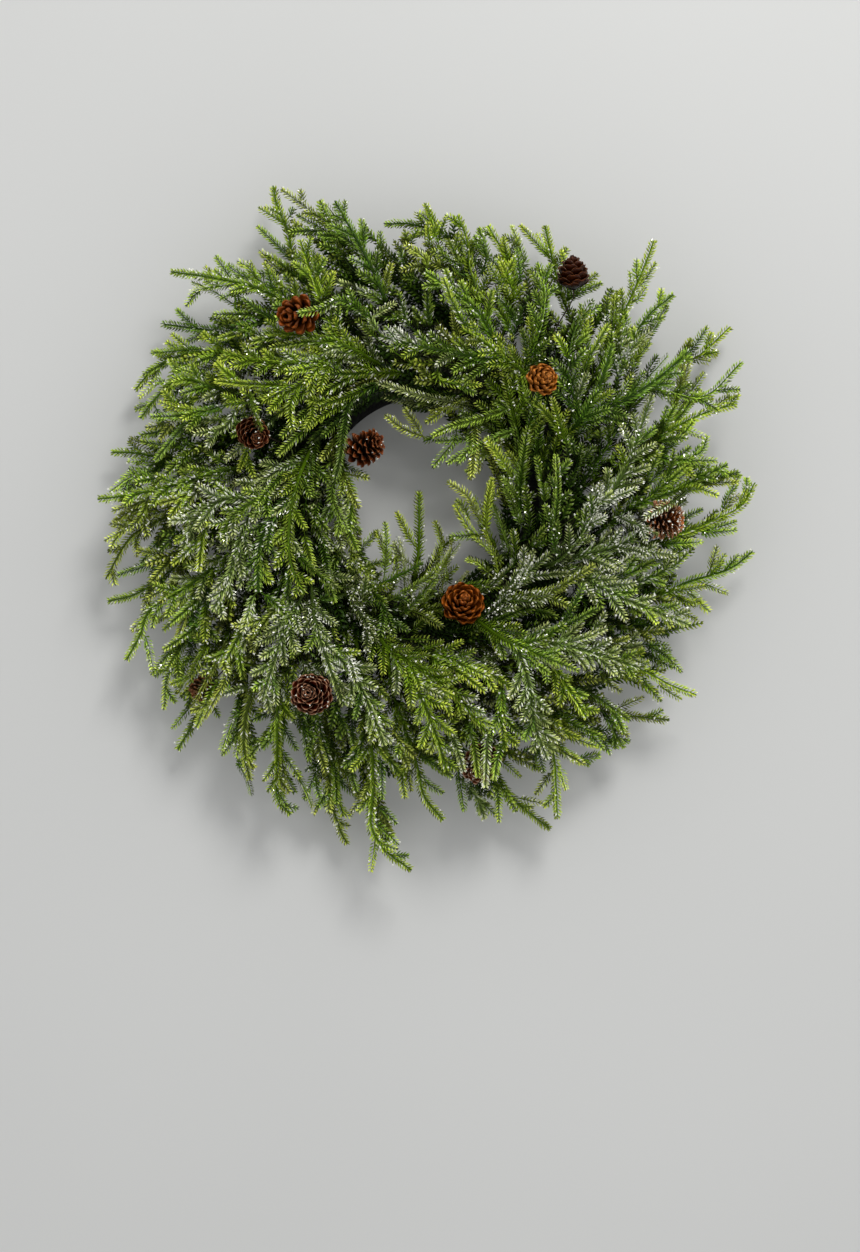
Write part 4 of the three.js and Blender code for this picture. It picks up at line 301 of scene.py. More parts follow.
        ("b", "O", [(-2.4, 252.8, 29.3), (-4.6, 251.1, 30.8), (-24.1, 243.2, 32.9)]),
        ("b", "O", [(26.4, 230.3, 32.8), (14.8, 232, 39.4), (-3.8, 240, 41.8)]),
        ("t", "L", [(14.8, 232, 39.4), (12.2, 227.9, 44), (6.4, 252.8, 36), (-3, 275, 30)]),
    ],
    "outer_spray_22": [
        ("s", "Y", [(56.4, 125.7, 12.2), (58.1, 134, 24.2), (52.4, 172.3, 57.2), (36.5, 213.1, 52.6), (33.2, 240.6, 48.8), (25.7, 261.3, 45.8)]),
        ("s", "Y", [(57, 141.6, 30.8), (70.8, 189, 56.9), (69.3, 218.2, 52.5), (50.9, 252.7, 46.5)]),
        ("b", "D", [(70.2, 199.5, 55.3), (77.4, 205.3, 60.2), (74.6, 232, 65.6)]),
        ("t", "Y", [(69.3, 217.2, 52.6), (63.3, 242, 55.5)]),
        ("b", "D", [(39.7, 205, 53.5), (47.3, 213.6, 60.4), (48.9, 226, 61.5), (43.9, 245.8, 63.2)]),
        ("t", "G", [(37.6, 210.2, 52.9), (29, 208.2, 52), (10.5, 221.4, 48), (-11.4, 234.1, 42)]),
        ("t", "L", [(45.4, 211.4, 58.7), (45.9, 215.5, 48), (29.1, 230.4, 44), (10.6, 243.2, 38)]),
        ("t", "L", [(69.3, 218.2, 52.5), (81.3, 222.8, 44), (76.5, 240.6, 38), (71.6, 255.2, 32)]),
    ],
    "outer_spray_23": [
        ("s", "Y", [(95.6, 92.1, 9.5), (105.2, 101.8, 11), (116.6, 128.9, 31.4), (124.9, 162.6, 33.8), (112.4, 201.2, 30.1), (99.9, 256.4, 24.9)]),
        ("b", "G", [(124.8, 161.9, 33.8), (137.1, 165.9, 41.2), (146.4, 187.8, 41.5)]),
        ("b", "L", [(116.1, 189.8, 31.2), (124.6, 198.3, 38.4), (144.1, 214.4, 38.3)]),
        ("b", "G", [(116.1, 189.8, 31.2), (127.1, 197.4, 39.2), (147.3, 205.7, 40.1)]),
        ("b", "Y", [(106, 229.7, 27.4), (103.1, 230.2, 29.1), (93, 249.8, 28.4)]),
        ("b", "Y", [(106.9, 225.7, 27.8), (103.9, 228.3, 30.1), (79.3, 255.4, 30.5)]),
    ],
    "outer_spray_24": [
        ("s", "Y", [(103.7, 72.5, 12.2), (110.2, 78, 24.2), (136.2, 118.1, 54.7), (162.4, 172.9, 52.5), (181.3, 215.5, 47.8), (190.8, 240.3, 45.2)]),
        ("s", "G", [(135.7, 117.3, 54.1), (151.2, 132.2, 56.4), (186.1, 177.4, 49.5), (206.8, 194.9, 44.8)]),
        ("b", "F", [(154.3, 136.3, 55.7), (159.4, 136.9, 58.7), (187, 161.8, 67.3)]),
        ("b", "L", [(152.8, 134.2, 56.1), (167.8, 134.5, 58.4), (185.9, 153.3, 61.7)]),
        ("t", "L", [(176.3, 204.4, 49.1), (176.4, 225.9, 45.8)]),
        ("b", "Y", [(174.5, 200.3, 49.5), (180.8, 204.4, 43.5), (192.3, 221.6, 46.8)]),
        ("b", "L", [(169.1, 188, 50.9), (172.3, 190.7, 44.9), (170.1, 213.5, 49.9)]),
        ("b", "L", [(169.1, 188, 50.9), (176.5, 191.5, 44.9), (184.1, 201.7, 44.2)]),
        ("b", "L", [(156, 159.6, 53.1), (154.7, 160.1, 53.8), (156.9, 193.9, 57.7)]),
        ("b", "G", [(150.3, 147.6, 53.5), (149.5, 151.5, 55.9), (150, 190.1, 61.7)]),
    ],
    "outer_spray_25": [
        ("s", "G", [(114.7, 20.2, 12.2), (121.8, 23.5, 24.2), (148.7, 63.6, 55.7), (182.2, 112.1, 55.8), (231.3, 108.4, 51.3), (263.7, 137.3, 47.4)]),
        ("s", "Y", [(127.2, 31.5, 30.5), (165.3, 50.9, 57.8), (201.6, 78.7, 54.4), (233.1, 95, 50.2), (260.4, 102.9, 46.8)]),
        ("s", "Y", [(152.1, 68.4, 55.7), (155.6, 85.7, 42.1), (180.5, 108.1, 27.4), (203.8, 132.3, 24.2), (232.2, 147.1, 20.9), (258.3, 171.4, 17.3)]),
        ("b", "G", [(181.3, 63.2, 56.3), (203.1, 55.1, 56.9), (241.7, 53.9, 62.7)]),
        ("b", "D", [(181.3, 63.2, 56.3), (204.8, 55.2, 57.2), (223.1, 58.4, 58.1), (229.8, 63.4, 58), (233.9, 74.3, 58)]),
        ("b", "L", [(205.7, 80.8, 53.9), (207.7, 84.8, 52.2), (233.3, 73.6, 56.2)]),
        ("b", "Y", [(239.9, 97, 49.3), (243.2, 102.4, 43.3), (254.9, 110.8, 43.9)]),
        ("b", "Y", [(216.8, 109.5, 52.6), (221.7, 112.2, 46.6), (233.4, 129.7, 48.2)]),
        ("b", "G", [(211.9, 109.9, 53.1), (213.3, 109.6, 47.1), (215.9, 129.1, 46)]),
        ("b", "Y", [(229, 145.4, 21.3), (230.4, 146.1, 22.2), (238.9, 147.8, 22.5), (247.3, 146.9, 22.9)]),
        ("b", "O", [(222.5, 142, 22), (221.8, 143.5, 23), (241.1, 140.6, 25.3)]),
        ("b", "O", [(206.2, 133.5, 23.9), (207.9, 136.3, 25.9), (223.7, 159.7, 29.2)]),
        ("b", "D", [(190.4, 118.3, 26.1), (186.8, 129.6, 32.9), (194.9, 145.3, 36.6)]),
    ],
    "top_spray_01": [
        ("s", "Y", [(-91.3, 82.2, 20.2), (-93, 77.5, 32.2), (-105.7, 41.4, 75.5), (-113.6, 7.9, 81.7), (-113.4, -29.4, 85), (-101.7, -57.5, 87.8)]),
        ("s", "D", [(-107.3, 34.7, 76.7), (-117, 20.4, 79.8), (-131.8, -0.4, 81.4), (-139.2, -21, 82.3), (-139.9, -55.8, 83.6)]),
        ("s", "L", [(-92.9, 77.6, 31.9), (-75.3, 62.5, 46.8), (-70.9, 47.1, 50.8), (-63.3, 26.1, 52.1), (-64.9, -3.4, 53.8), (-59, -20.2, 54.8)]),
        ("b", "F", [(-101.7, 52.8, 61.8), (-117.5, 48.3, 71.2), (-154, 25.8, 72.4)]),
        ("b", "G", [(-113.2, 9.5, 81.4), (-113.9, 8.1, 77.1), (-113.8, -29.2, 78.2)]),
        ("b", "G", [(-107.7, 32.6, 77.1), (-105.8, 27.4, 73.3), (-89.9, 25.6, 76.5)]),
        ("b", "Y", [(-113.4, -27.5, 84.9), (-120.1, -31, 84), (-127.4, -35.2, 85.6)]),
        ("b", "F", [(-139.9, -54.3, 83.6), (-145.3, -62.3, 77.6), (-152.8, -88.8, 77.5)]),
        ("b", "G", [(-139.9, -54.3, 83.6), (-122, -69, 81.1), (-105.1, -90.5, 85.6)]),
        ("t", "O", [(-71, 47.4, 50.7), (-68.3, 36.9, 53.1), (-57.3, 14.8, 58.4)]),
        ("b", "O", [(-70, 44.7, 51), (-60.7, 42.6, 55.3), (-49.7, 40, 57.6)]),
        ("b", "D", [(-71, 47.4, 50.7), (-81.3, 25.5, 62.8), (-66.4, -6.2, 61.4)]),
        ("t", "L", [(-79.9, 22.6, 62.7), (-78.9, 15.8, 40), (-68.6, -9.8, 46), (-56.7, -33.4, 48), (-41.6, -58.6, 46)]),
        ("t", "F", [(-63.7, -6.8, 54), (-75.3, -16.5, 46), (-65.1, -33.4, 48), (-53.4, -56.9, 46)]),
        ("t", "F", [(-78.6, 19.7, 62.5), (-88.6, 1.8, 50), (-75.1, -7.5, 52), (-59.2, -20.9, 50)]),
        ("t", "L", [(-75.9, 14, 62.3), (-92.2, -4.7, 44), (-82, -16.5, 46), (-71.2, -29.1, 44)]),
        ("t", "D", [(-75.3, 62.5, 46.8), (-78.7, 55.9, 46), (-63.5, 47.4, 46), (-50.9, 41.7, 44)]),
        ("t", "D", [(-72.7, 53.3, 49.2), (-73.8, 51.1, 42), (-65.3, 32.5, 43), (-59.4, 15.7, 42)]),
        ("t", "D", [(-79, 30.4, 60.1), (-83.8, 27.4, 44), (-74.5, 8.8, 44), (-67, -8.8, 42)]),
        ("t", "G", [(-73.5, 56.3, 48.4), (-85.2, 50.5, 50), (-78.5, 30.4, 50), (-71.9, 11.2, 48)]),
    ],
    "top_spray_02": [
        ("s", "L", [(-115.4, 29.8, 18), (-120.2, 28.2, 30), (-133.8, 23.9, 77.1), (-156.5, 10.3, 83.2), (-172.3, -11.1, 81.9)]),
        ("s", "M", [(-134.2, 23.6, 77.2), (-148.7, 20.5, 77.2), (-170.3, 20.6, 76.2), (-192.4, 4.3, 70.7), (-204.6, -20.5, 65.2)]),
        ("s", "M", [(-138.3, 21.2, 78.3), (-146.9, 8, 79), (-156.9, -16.8, 78.4), (-165.5, -45.7, 73.7), (-179.2, -72.2, 69.2)]),
        ("b", "F", [(-184.4, 10.1, 72.7), (-193.6, 12.8, 66.7), (-215.8, 0.2, 69.6)]),
        ("b", "Y", [(-180.8, 12.8, 73.6), (-188.5, 17.7, 67.6), (-186.7, 7.6, 69.4)]),
    ],
    "top_spray_03": [
        ("s", "F", [(-100.4, -22.9, 20.6), (-99.8, -27.8, 32.6), (-92.9, -78.9, 82.9), (-80.6, -118.6, 80.1), (-69.1, -149.3, 78)]),
        ("s", "M", [(-97.7, -43.1, 47.7), (-105.7, -62.3, 74.6), (-118.6, -88.8, 81.2), (-137.6, -145.4, 69)]),
        ("s", "M", [(-92.6, -79.7, 82.8), (-87.1, -95.4, 82.2), (-62.4, -121.9, 79.8), (-46, -155.2, 73.9), (-36.1, -182.9, 69.3)]),
        ("b", "Y", [(-95.5, -59.7, 64), (-91.2, -62.2, 66.6), (-93.7, -73, 66.3)]),
        ("b", "L", [(-109.8, -70.8, 76.7), (-120.3, -70.6, 78), (-105.1, -107, 85.2)]),
        ("b", "F", [(-74.6, -108.8, 81), (-66.5, -107.8, 82.1), (-59, -129.3, 84.1)]),
        ("b", "F", [(-128.5, -118.2, 74.9), (-126, -122.1, 68.9), (-126.9, -150.5, 67.4)]),
        ("t", "L", [(-97.2, -47, 51.5), (-73.6, -45.1, 46), (-60.1, -38.5, 48), (-44.9, -31.7, 48), (-30.7, -30, 46)]),
        ("t", "G", [(-96.6, -51.2, 55.7), (-82, -53.6, 46), (-68.4, -45.2, 50), (-55, -33.4, 48)]),
        ("t", "G", [(-91.2, -62.2, 66.6), (-69.5, -55.2, 44), (-56.8, -48.5, 46), (-40, -40, 44)]),
    ],
    "top_spray_04": [
        ("s", "Y", [(-54.7, -65.9, 20.8), (-52.2, -70.3, 32.8), (-35.2, -99.6, 74.7), (-10.3, -116.9, 82.7), (18.7, -136.9, 78.3), (52, -176.9, 72)]),
        ("s", "M", [(-34.7, -100, 74.8), (-24.3, -112, 80.7), (-6.1, -140.9, 82.5), (7.1, -174.3, 74), (15.5, -203.8, 66.7)]),
        ("s", "M", [(-34.7, -100, 74.8), (-21.1, -105.4, 76.7), (10.4, -107.9, 78.1), (43.6, -118.7, 76.8), (72.6, -136.9, 75.6)]),
        ("b", "Y", [(61.5, -129.9, 76.1), (60.3, -145.4, 70.1), (64.5, -187, 69.7)]),
        ("b", "G", [(61.5, -129.9, 76.1), (62.8, -155.4, 70.1), (71.1, -167.8, 71.1), (81.1, -176.9, 72)]),
        ("t", "Y", [(-34.4, -100.2, 74.9), (-0.4, -125.3, 74.8)]),
        ("t", "L", [(12.4, -108.5, 78), (16.2, -120.3, 80.7), (16.2, -133.4, 83.5)]),
        ("b", "Y", [(5, -168.9, 75.4), (15.4, -167, 69.4), (29.5, -153.6, 72.6)]),
        ("t", "L", [(-48.2, -77.2, 42.7), (-41.7, -72.1, 44), (-29.8, -50.2, 46), (-25.7, -29.9, 44), (-29.1, -15.5, 42)]),
        ("t", "Y", [(-52.2, -70.3, 32.8), (-60.1, -65.4, 48), (-43.2, -55.3, 50), (-24.8, -50.2, 48)]),
        ("t", "G", [(-49.2, -75.5, 40.2), (-40, -67, 44), (-19.7, -55.3, 48), (0.5, -42.6, 46), (16.5, -28.2, 42)]),
        ("t", "D", [(-47.2, -78.9, 45.1), (-38.3, -73.7, 44), (-14.7, -63.7, 46), (8, -55.2, 44)]),
        ("t", "L", [(40.2, -162.8, 74.2), (35.4, -168.6, 72), (38.5, -184.8, 80), (41.9, -208.2, 76)]),
        ("t", "F", [(50.3, -170.3, 72), (48.4, -188, 82), (47.9, -218.6, 70)]),
        ("t", "G", [(65.3, -177, 70), (58.4, -191.4, 80), (55.3, -211.7, 74)]),
        ("t", "F", [(15.4, -167, 69.4), (20.4, -175.3, 70), (25.4, -188.3, 76), (30.4, -205.3, 70)]),
    ],
    "top_spray_05": [
        ("s", "Y", [(27.8, -69, 19.7), (31.9, -72, 31.7), (64.2, -95.4, 81.1), (97.4, -110.4, 76.8), (132.2, -159.7, 64.8)]),
        ("s", "M", [(51.2, -86, 61.4), (66.9, -95.5, 73.3), (109.8, -99.6, 78.2), (143.5, -108, 70.7), (177.4, -118.9, 63.1)]),
        ("s", "M", [(64.8, -95.7, 81), (76.5, -107.8, 82.7), (84.9, -136.8, 80.6), (89.4, -166.1, 72.2), (100.6, -195.7, 63.4)]),
        ("t", "G", [(64.8, -95.7, 81), (123.1, -120.1, 91)]),
        ("b", "G", [(64.8, -95.7, 81), (64.1, -97.1, 82), (84.7, -99.6, 83.1), (100.4, -97.9, 84)]),
        ("b", "F", [(43.1, -80.1, 48.9), (62.2, -63.8, 63.1), (74.7, -48.8, 65.1), (88.7, -24.8, 67.9)]),
        ("t", "F", [(57.3, -67.1, 60), (72.2, -43.8, 64), (89, -21.2, 62)]),
    ],
    "top_spray_06": [
        ("s", "F", [(89, -34, 20.4), (93.9, -32.9, 32.4), (109.9, -29.1, 75.8), (132.2, -0.7, 89.5), (142.7, 30.4, 93.2)]),
        ("s", "M", [(105.1, -30.3, 62.8), (119.9, -25.8, 66.5), (159.1, -17, 65.7), (188.6, 4, 49.5), (218.4, 22.6, 37.1)]),
        ("s", "M", [(127.8, -6.4, 86.8), (138.4, 7.8, 84.3), (163.5, 45.2, 80), (186.7, 108.2, 70.3)]),
        ("s", "M", [(100.3, -31.4, 49.8), (114.8, -33.8, 63.7), (151.5, -55.6, 74.6), (219.7, -83, 57.6)]),
        ("b", "F", [(152.8, -18.4, 65.8), (159.6, -22.5, 64.2), (171.8, -20.1, 71.1), (204.2, -25.3, 86.4)]),
        ("b", "G", [(160.3, -59.2, 72.4), (177.1, -47.2, 66.4), (204.1, -34.8, 71), (215.5, -23.3, 73.5)]),
        ("b", "F", [(169.1, -9.9, 60.2), (168.8, -4.2, 64.9), (167.9, 9.8, 77.1)]),
        ("b", "G", [(110.7, -28.2, 76.3), (103.3, -12.6, 90.6), (106.5, 24.6, 90.9), (106.4, 57.6, 79.8)]),
    ],
    "top_spray_07": [
        ("s", "Y", [(91.4, 108.9, 8.7), (88.8, 113.2, 20.7), (80.2, 127.2, 72), (64.2, 137.9, 79.8), (47.6, 150.8, 82.7), (28.5, 161.2, 85.6)]),
        ("s", "M", [(87.1, 116, 31), (82.2, 129.6, 64.5), (93.1, 160.9, 80.9), (97.5, 190.8, 74.6), (92, 219.1, 68.6)]),
        ("s", "M", [(72.2, 132.5, 75.9), (60.1, 143.1, 77.9), (43.5, 173.7, 78.1), (20.4, 194.8, 75.3), (-2, 210.1, 73)]),
        ("s", "M", [(69, 134.7, 77.5), (53.4, 136.2, 80.3), (-10.2, 147.8, 86.9), (-39, 154.8, 90.2)]),
        ("b", "O", [(-0.7, 209.2, 73.1), (-2, 221.8, 67.1), (-19.5, 233.5, 71.8)]),
        ("b", "F", [(-37.4, 154.5, 90), (-45.8, 170.5, 84), (-26.7, 182.2, 88.7)]),
        ("b", "Y", [(12.4, 143.7, 84.5), (10.4, 119.9, 78.3), (43.5, 115.5, 80.8)]),
        ("t", "G", [(-45.8, 170.5, 84), (-70.2, 184.2, 92), (-87.8, 175.4, 103), (-105.7, 172, 104)]),
        ("t", "G", [(5.5, 205, 73.8), (3.8, 199.2, 56), (-18, 216, 50), (-36.7, 233.2, 42)]),
    ],
    "top_spray_08": [
        ("s", "M", [(-25.6, 128, 20.8), (-30.1, 130.2, 32.8), (-62.2, 145.5, 80.9), (-97.1, 156.7, 72.3), (-137.1, 161.4, 63.8)]),
        ("s", "M", [(-52.6, 140.9, 66.4), (-68.2, 149.3, 78.8), (-84.6, 177.1, 82), (-106.2, 237.7, 66.7)]),
        ("s", "M", [(-49.4, 139.4, 61.6), (-64.3, 143.5, 71.9), (-97.1, 134.5, 79.7), (-134.7, 135.1, 74.6), (-170.9, 144, 69.7)]),
        ("s", "M", [(-55.8, 142.5, 71.2), (-72.4, 144.7, 75.7), (-105.4, 115.5, 78.3), (-137, 103.3, 77.1), (-167.8, 99.4, 76.1)]),
        ("b", "D", [(-124, 159.9, 66.6), (-131.6, 173.6, 64.7), (-142.4, 179.5, 68.3), (-152.4, 188.7, 71.8)]),
        ("b", "Y", [(-165.9, 99.6, 76.2), (-176.6, 94.1, 70.2), (-209.9, 98.3, 70.1), (-222.4, 102.4, 70)]),
        ("b", "Y", [(-109.6, 113.9, 78.1), (-113.6, 115.4, 80.8), (-135.7, 101.9, 84.2)]),
        ("b", "D", [(-165.9, 99.6, 76.2), (-197.4, 91.6, 70.2), (-229.6, 89.7, 72.3)]),
        ("b", "F", [(-156.7, 100.8, 76.5), (-168.3, 81.6, 70.6), (-194.3, 75.3, 76.1)]),
        ("b", "Y", [(-104.2, 116.7, 78.2), (-111.8, 102.8, 82.8), (-113.5, 90.4, 83.4), (-111, 76.3, 84)]),
        ("b", "Y", [(-99.5, 120.7, 77.8), (-95.5, 93.3, 78.3), (-101.1, 78.1, 82.8)]),
        ("b", "G", [(-88.1, 187.1, 79.4), (-90.8, 188.3, 73.9), (-94.6, 227.1, 80.9)]),
        ("t", "L", [(-146.2, 102.1, 76.8), (-145.3, 102.9, 100), (-141.6, 90.9, 106), (-135.1, 75.4, 105)]),
    ],
    "top_spray_09": [
        ("s", "M", [(106, 61.7, 17.8), (109.1, 65.6, 29.8), (126.4, 86.8, 77.2), (143.3, 116.3, 72.9), (153.7, 150.1, 67.4)]),
        ("s", "M", [(119.5, 78.3, 58.2), (125, 91.3, 74), (116.1, 127.6, 83.7), (122.3, 161.4, 77.1), (136.7, 187, 71.6)]),
        ("s", "M", [(123, 82.6, 67.7), (134.7, 90.9, 77.5), (165.7, 104.5, 82.6), (194.7, 124.5, 73.5), (218.9, 146.2, 65.2)]),
        ("b", "D", [(171.8, 108.7, 80.7), (173.9, 107.8, 74.7), (178, 116.1, 74.7), (199.6, 140.9, 74.9)]),
        ("b", "Y", [(120.4, 151.3, 79.1), (131.7, 157.8, 73.1), (135.7, 178.4, 74.2)]),
        ("b", "G", [(122, 159.9, 77.4), (126, 162.1, 71.4), (127.7, 183.9, 70.4)]),
    ],
}

CONES = {
    "pine_cone_01": ((-107.7, 172.9, 84), (-0.56, -0.153, 0.814), 36.3, 33),
    "pine_cone_02": ((121.7, 210.3, 60), (-0.051, 0.966, 0.254), 25.9, 32.6),
    "pine_cone_03": ((94.8, 118.6, 98), (0.442, 0.147, 0.885), 26.2, 23.8),
    "pine_cone_04": ((197.8, 4.4, 68), (0.931, -0.052, 0.362), 36.6, 30),
    "pine_cone_05": ((45.6, -197.6, 58), (-0.362, -0.517, 0.776), 35.1, 36.8),
    "pine_cone_06": ((-96, -140, 86), (-0.099, 0.099, 0.99), 37.1, 37.9),
    "pine_cone_07": ((-187.6, -135.3, 42), (-0.609, -0.508, 0.609), 25.3, 23.6),
    "pine_cone_08": ((-143.7, 75.2, 88), (0.341, -0.341, 0.876), 28, 28),
    "pine_cone_09": ((-51.4, 65.7, 60), (0.756, 0.252, 0.605), 31.8, 31.8),
    "pine_cone_10": ((29.7, -64.6, 58), (0.098, 0.344, 0.934), 36, 31.8),
}

# places where the floor shows between the sprays, as seen: x, y, radius
OPEN = [
    (-11, -247, 19.8), (19, -225, 10.3), (29, -247, 12.1), (2, -213, 6.9), (-32, -221, 6.9), (6, -255, 11.2),
    (-67, -235, 5.2), (-58, -256, 6), (-88, -254, 5.2), (-114, -199, 8.2), (-140, -195, 5.6), (-118, -176, 5.2),
    (-144, -173, 4.3), (-174, -151, 6), (-183, -169, 8.6), (-185, -186, 7.7), (-166, -207, 5.2), (84, -219, 11.2),
    (101, -200, 4.3), (129, -213, 7.7), (133, -189, 5.2), (168, -143, 9.5), (183, -157, 5.2), (211, -133, 6),
    (222, -100, 7.7), (237, -27, 9.5), (229, -37, 7.7), (243, -11, 6.9), (237, -59, 4.7), (254, -1, 6),
    (235, 20, 9.5), (222, 19, 5.2), (256, 76, 15.5), (243, 93, 6), (265, 58, 6.5), (222, 69, 5.6),
    (194, 106, 8.6), (228, 100, 3), (248, 136, 5.6), (230, 134, 4.7), (209, 162, 12.1), (196, 145, 10.3),
    (217, 179, 8.6), (187, 195, 9.5), (230, 180, 5.2), (153, 223, 9), (166, 217, 5.2), (140, 201, 6.5),
    (118, 184, 5.6), (112, 195, 4.3), (125, 235, 4.3), (86, 243, 5.6), (54, 244, 3.4), (65, 170, 3),
    (-24, 270, 6), (-37, 257, 5.6), (-62, 270, 7.3), (-151, 242, 9), (-129, 243, 6.5), (-132, 257, 5.2),
    (-161, 229, 4.3), (-108, 246, 3), (-181, 195, 7.3), (-198, 184, 5.2), (-207, 169, 4.3), (-146, 199, 3.4),
    (-250, 119, 6.5), (-243, 139, 5.2), (-252, 88, 5.2), (-237, 101, 3.4), (-263, 55, 7.3), (-269, 37, 5.2),
    (-250, -46, 7.3), (-258, -30, 5.2), (-258, -68, 6.5), (-235, -98, 3.4), (-222, -92, 3.4),
]

MM = 0.001
RNG = np.random.default_rng(20417)
LETTERS = "YLGDOF"


# ------------------------------------------------------------------ curves and mesh soups
def norm(v):
    v = np.asarray(v, float)
    return v / np.maximum(np.linalg.norm(v, axis=-1, keepdims=True), 1e-9)


def smooth_line(points, step):
    """A curve through the points, sampled about every step mm."""
    P = np.asarray(points, float)
    if len(P) == 2:
        P = np.vstack([P[0], (P[0] + P[1]) / 2, P[1]])
    E = np.vstack([2 * P[0] - P[1], P, 2 * P[-1] - P[-2]])
    out = []
    for i in range(len(P) - 1):
        a, b, c, d = E[i], E[i + 1], E[i + 2], E[i + 3]
        L = np.linalg.norm(c - b)
        n = max(2, int(math.ceil(L / step)))
        t = np.linspace(0, 1, n, endpoint=False)[:, None]
        m1, m2 = (c - a) * 0.5, (d - b) * 0.5
        m1 = m1 * min(1.0, 1.1 * L / (np.linalg.norm(m1) + 1e-9))
        m2 = m2 * min(1.0, 1.1 * L / (np.linalg.norm(m2) + 1e-9))
        out.append((2 * t**3 - 3 * t**2 + 1) * b + (t**3 - 2 * t**2 + t) * m1
                   + (3 * t**2 - 2 * t**3) * c + (t**3 - t**2) * m2)
    out.append(P[-1:])
    return np.vstack(out)


def arc(P):
    return np.concatenate([[0.0], np.cumsum(np.linalg.norm(np.diff(P, axis=0), axis=1))])


def frames(P):
    """Tangents and two cross directions that don't twist along the line."""
    T = norm(np.gradient(P, axis=0))
    u = np.array([0, 0, 1.0]) - T[0] * T[0][2]
    if np.linalg.norm(u) < 0.2:
        u = np.array([1.0, 0, 0]) - T[0] * T[0][0]
    U = [u / np.linalg.norm(u)]
    for i in range(1, len(P)):
        u = U[-1] - T[i] * np.dot(U[-1], T[i])
        U.append(u / (np.linalg.norm(u) + 1e-9))
    U = np.array(U)
    return T, U, np.cross(T, U)


class Soup:
    """Vertices, triangles, colours and extras gathered for one piece."""

    def __init__(self):
        self.v, self.f, self.c, self.x, self.m = [], [], [], [], []
        self.n = self.tris = 0

    def add(self, v, f, colour, extra, mat=0):
        self.v.append(np.asarray(v, float))
        self.f.append(np.asarray(f, np.int64) + self.n)
        self.c.append(np.asarray(colour, float))
        self.x.append(np.asarray(extra, float))
        self.m.append(np.full(len(f), mat))
        self.n += len(v)
        self.tris += len(f)

    def object(self, name, mats, smooth=False):
        v = np.vstack(self.v) * MM
        f = np.vstack(self.f)
        me = bpy.data.meshes.new(name)
        me.vertices.add(len(v))
        me.vertices.foreach_set("co", v.astype(np.float32).ravel())
        me.loops.add(len(f) * 3)
        me.loops.foreach_set("vertex_index", f.astype(np.int32).ravel())
        me.polygons.add(len(f))
        me.polygons.foreach_set("loop_start", (np.arange(len(f)) * 3).astype(np.int32))
        me.polygons.foreach_set("material_index", np.concatenate(self.m).astype(np.int32))
        me.update(calc_edges=True)
        me.polygons.foreach_set("use_smooth", np.full(len(f), smooth, dtype=bool))
        for key, rows in (("Hue", self.c), ("Part", self.x)):
            a = me.color_attributes.new(name=key, type="FLOAT_COLOR", domain="POINT")
            r = np.vstack(rows)
            if r.shape[1] == 3:
                r = np.hstack([r, np.ones((len(r), 1))])
            a.data.foreach_set("color", r.astype(np.float32).ravel())
        for m in mats:
            me.materials.append(m)
        me.update()
        ob = bpy.data.objects.new(name, me)
        bpy.context.scene.collection.objects.link(ob)
        return ob


def lin(r, g, b):
    """A colour given in 0-255 display values, as linear values."""
    c = np.array([r, g, b], float) / 255
    return np.where(c <= 0.04045, c / 12.92, ((c + 0.055) / 1.055) ** 2.4)


# ------------------------------------------------------------------ foliage colours
# for each letter: the needle's foot near the stem, near black as painted shade where the needles crowd the stem; the
# needle near the stem; the needle at the sprig's end
PALETTE = {
    "Y": (lin(16, 28, 0), lin(88, 119, 14), lin(186, 202, 74)),
    "L": (lin(10, 23, 0), lin(77, 109, 15), lin(172, 191, 76)),
    "G": (lin(6, 17, 0), lin(64, 97, 15), lin(157, 181, 70)),
    "D": (lin(3, 12, 0), lin(53, 85, 16), lin(134, 160, 62)),
    "O": (lin(12, 20, 0), lin(83, 102, 22), lin(176, 186, 84)),
    "F": (lin(10, 22, 1), lin(84, 108, 42), lin(180, 190, 118)),
}
# the low layer's near-black greens: painted shade for the depths of the foliage
LOW_PAINTED_SHADE = (lin(8, 18, 1), lin(26, 46, 6), lin(58, 86, 20))
# flakes of glitter for each needle, and how many needles are frosted, by letter
GLITTER = {"Y": 0.050, "L": 0.085, "G": 0.075, "D": 0.06, "O": 0.11, "F": 0.16}
FROST = {"Y": 0.02, "L": 0.03, "G": 0.025, "D": 0.02, "O": 0.05, "F": 0.15}

# where the frosting is heaviest: centre x, y (mm), reach, strength
FROSTED = [
    (-4, 172, 15, 0.85), (-30, 148, 13, 0.65), (158, 4, 20, 0.80), (140, 22, 11, 0.5), (82, -41, 12, 0.95),
    (155, 135, 13, 0.55), (-160, 14, 22, 0.14), (-74, -118, 12, 0.45), (-131, -143, 8, 0.7), (146, -82, 12, 0.45),
    (-196, 12, 26, 0.16), (-100, 150, 30, 0.14), (-160, -76, 18, 0.15), (54, -150, 12, 0.3), (-60, -190, 50, 0.08),
    (30, -150, 40, 0.08), (186, -22, 24, 0.25), (190, 160, 16, 0.2), (-154, -60, 60, 0.08), (-10, 222, 20, 0.3),
]


def frost_at(x, y):
    s = 0.0
    for a, b, r, w in FROSTED:
        s = s + w * np.exp(-((x - a) ** 2 + (y - b) ** 2) / (2 * (r * 0.8) ** 2))
    return s


def polar(x, y):
    """Distance from the ring's middle and angle, for points in plan."""
    return np.hypot(x - RING[0], y - RING[1]), np.arctan2(y - RING[1], x - RING[0])


def seen(P):
    """Where points fall on the floor when looked at from the eye."""
    P = np.asarray(P, float)
    k = EYE[2] / (EYE[2] - P[..., 2])
    return EYE[0] + (P[..., 0] - EYE[0]) * k, EYE[1] + (P[..., 1] - EYE[1]) * k


def unseen(u, v, z):
    """The point at height z that falls on (u, v)."""
    k = (EYE[2] - z) / EYE[2]
    return EYE[0] + (u - EYE[0]) * k, EYE[1] + (v - EYE[1]) * k


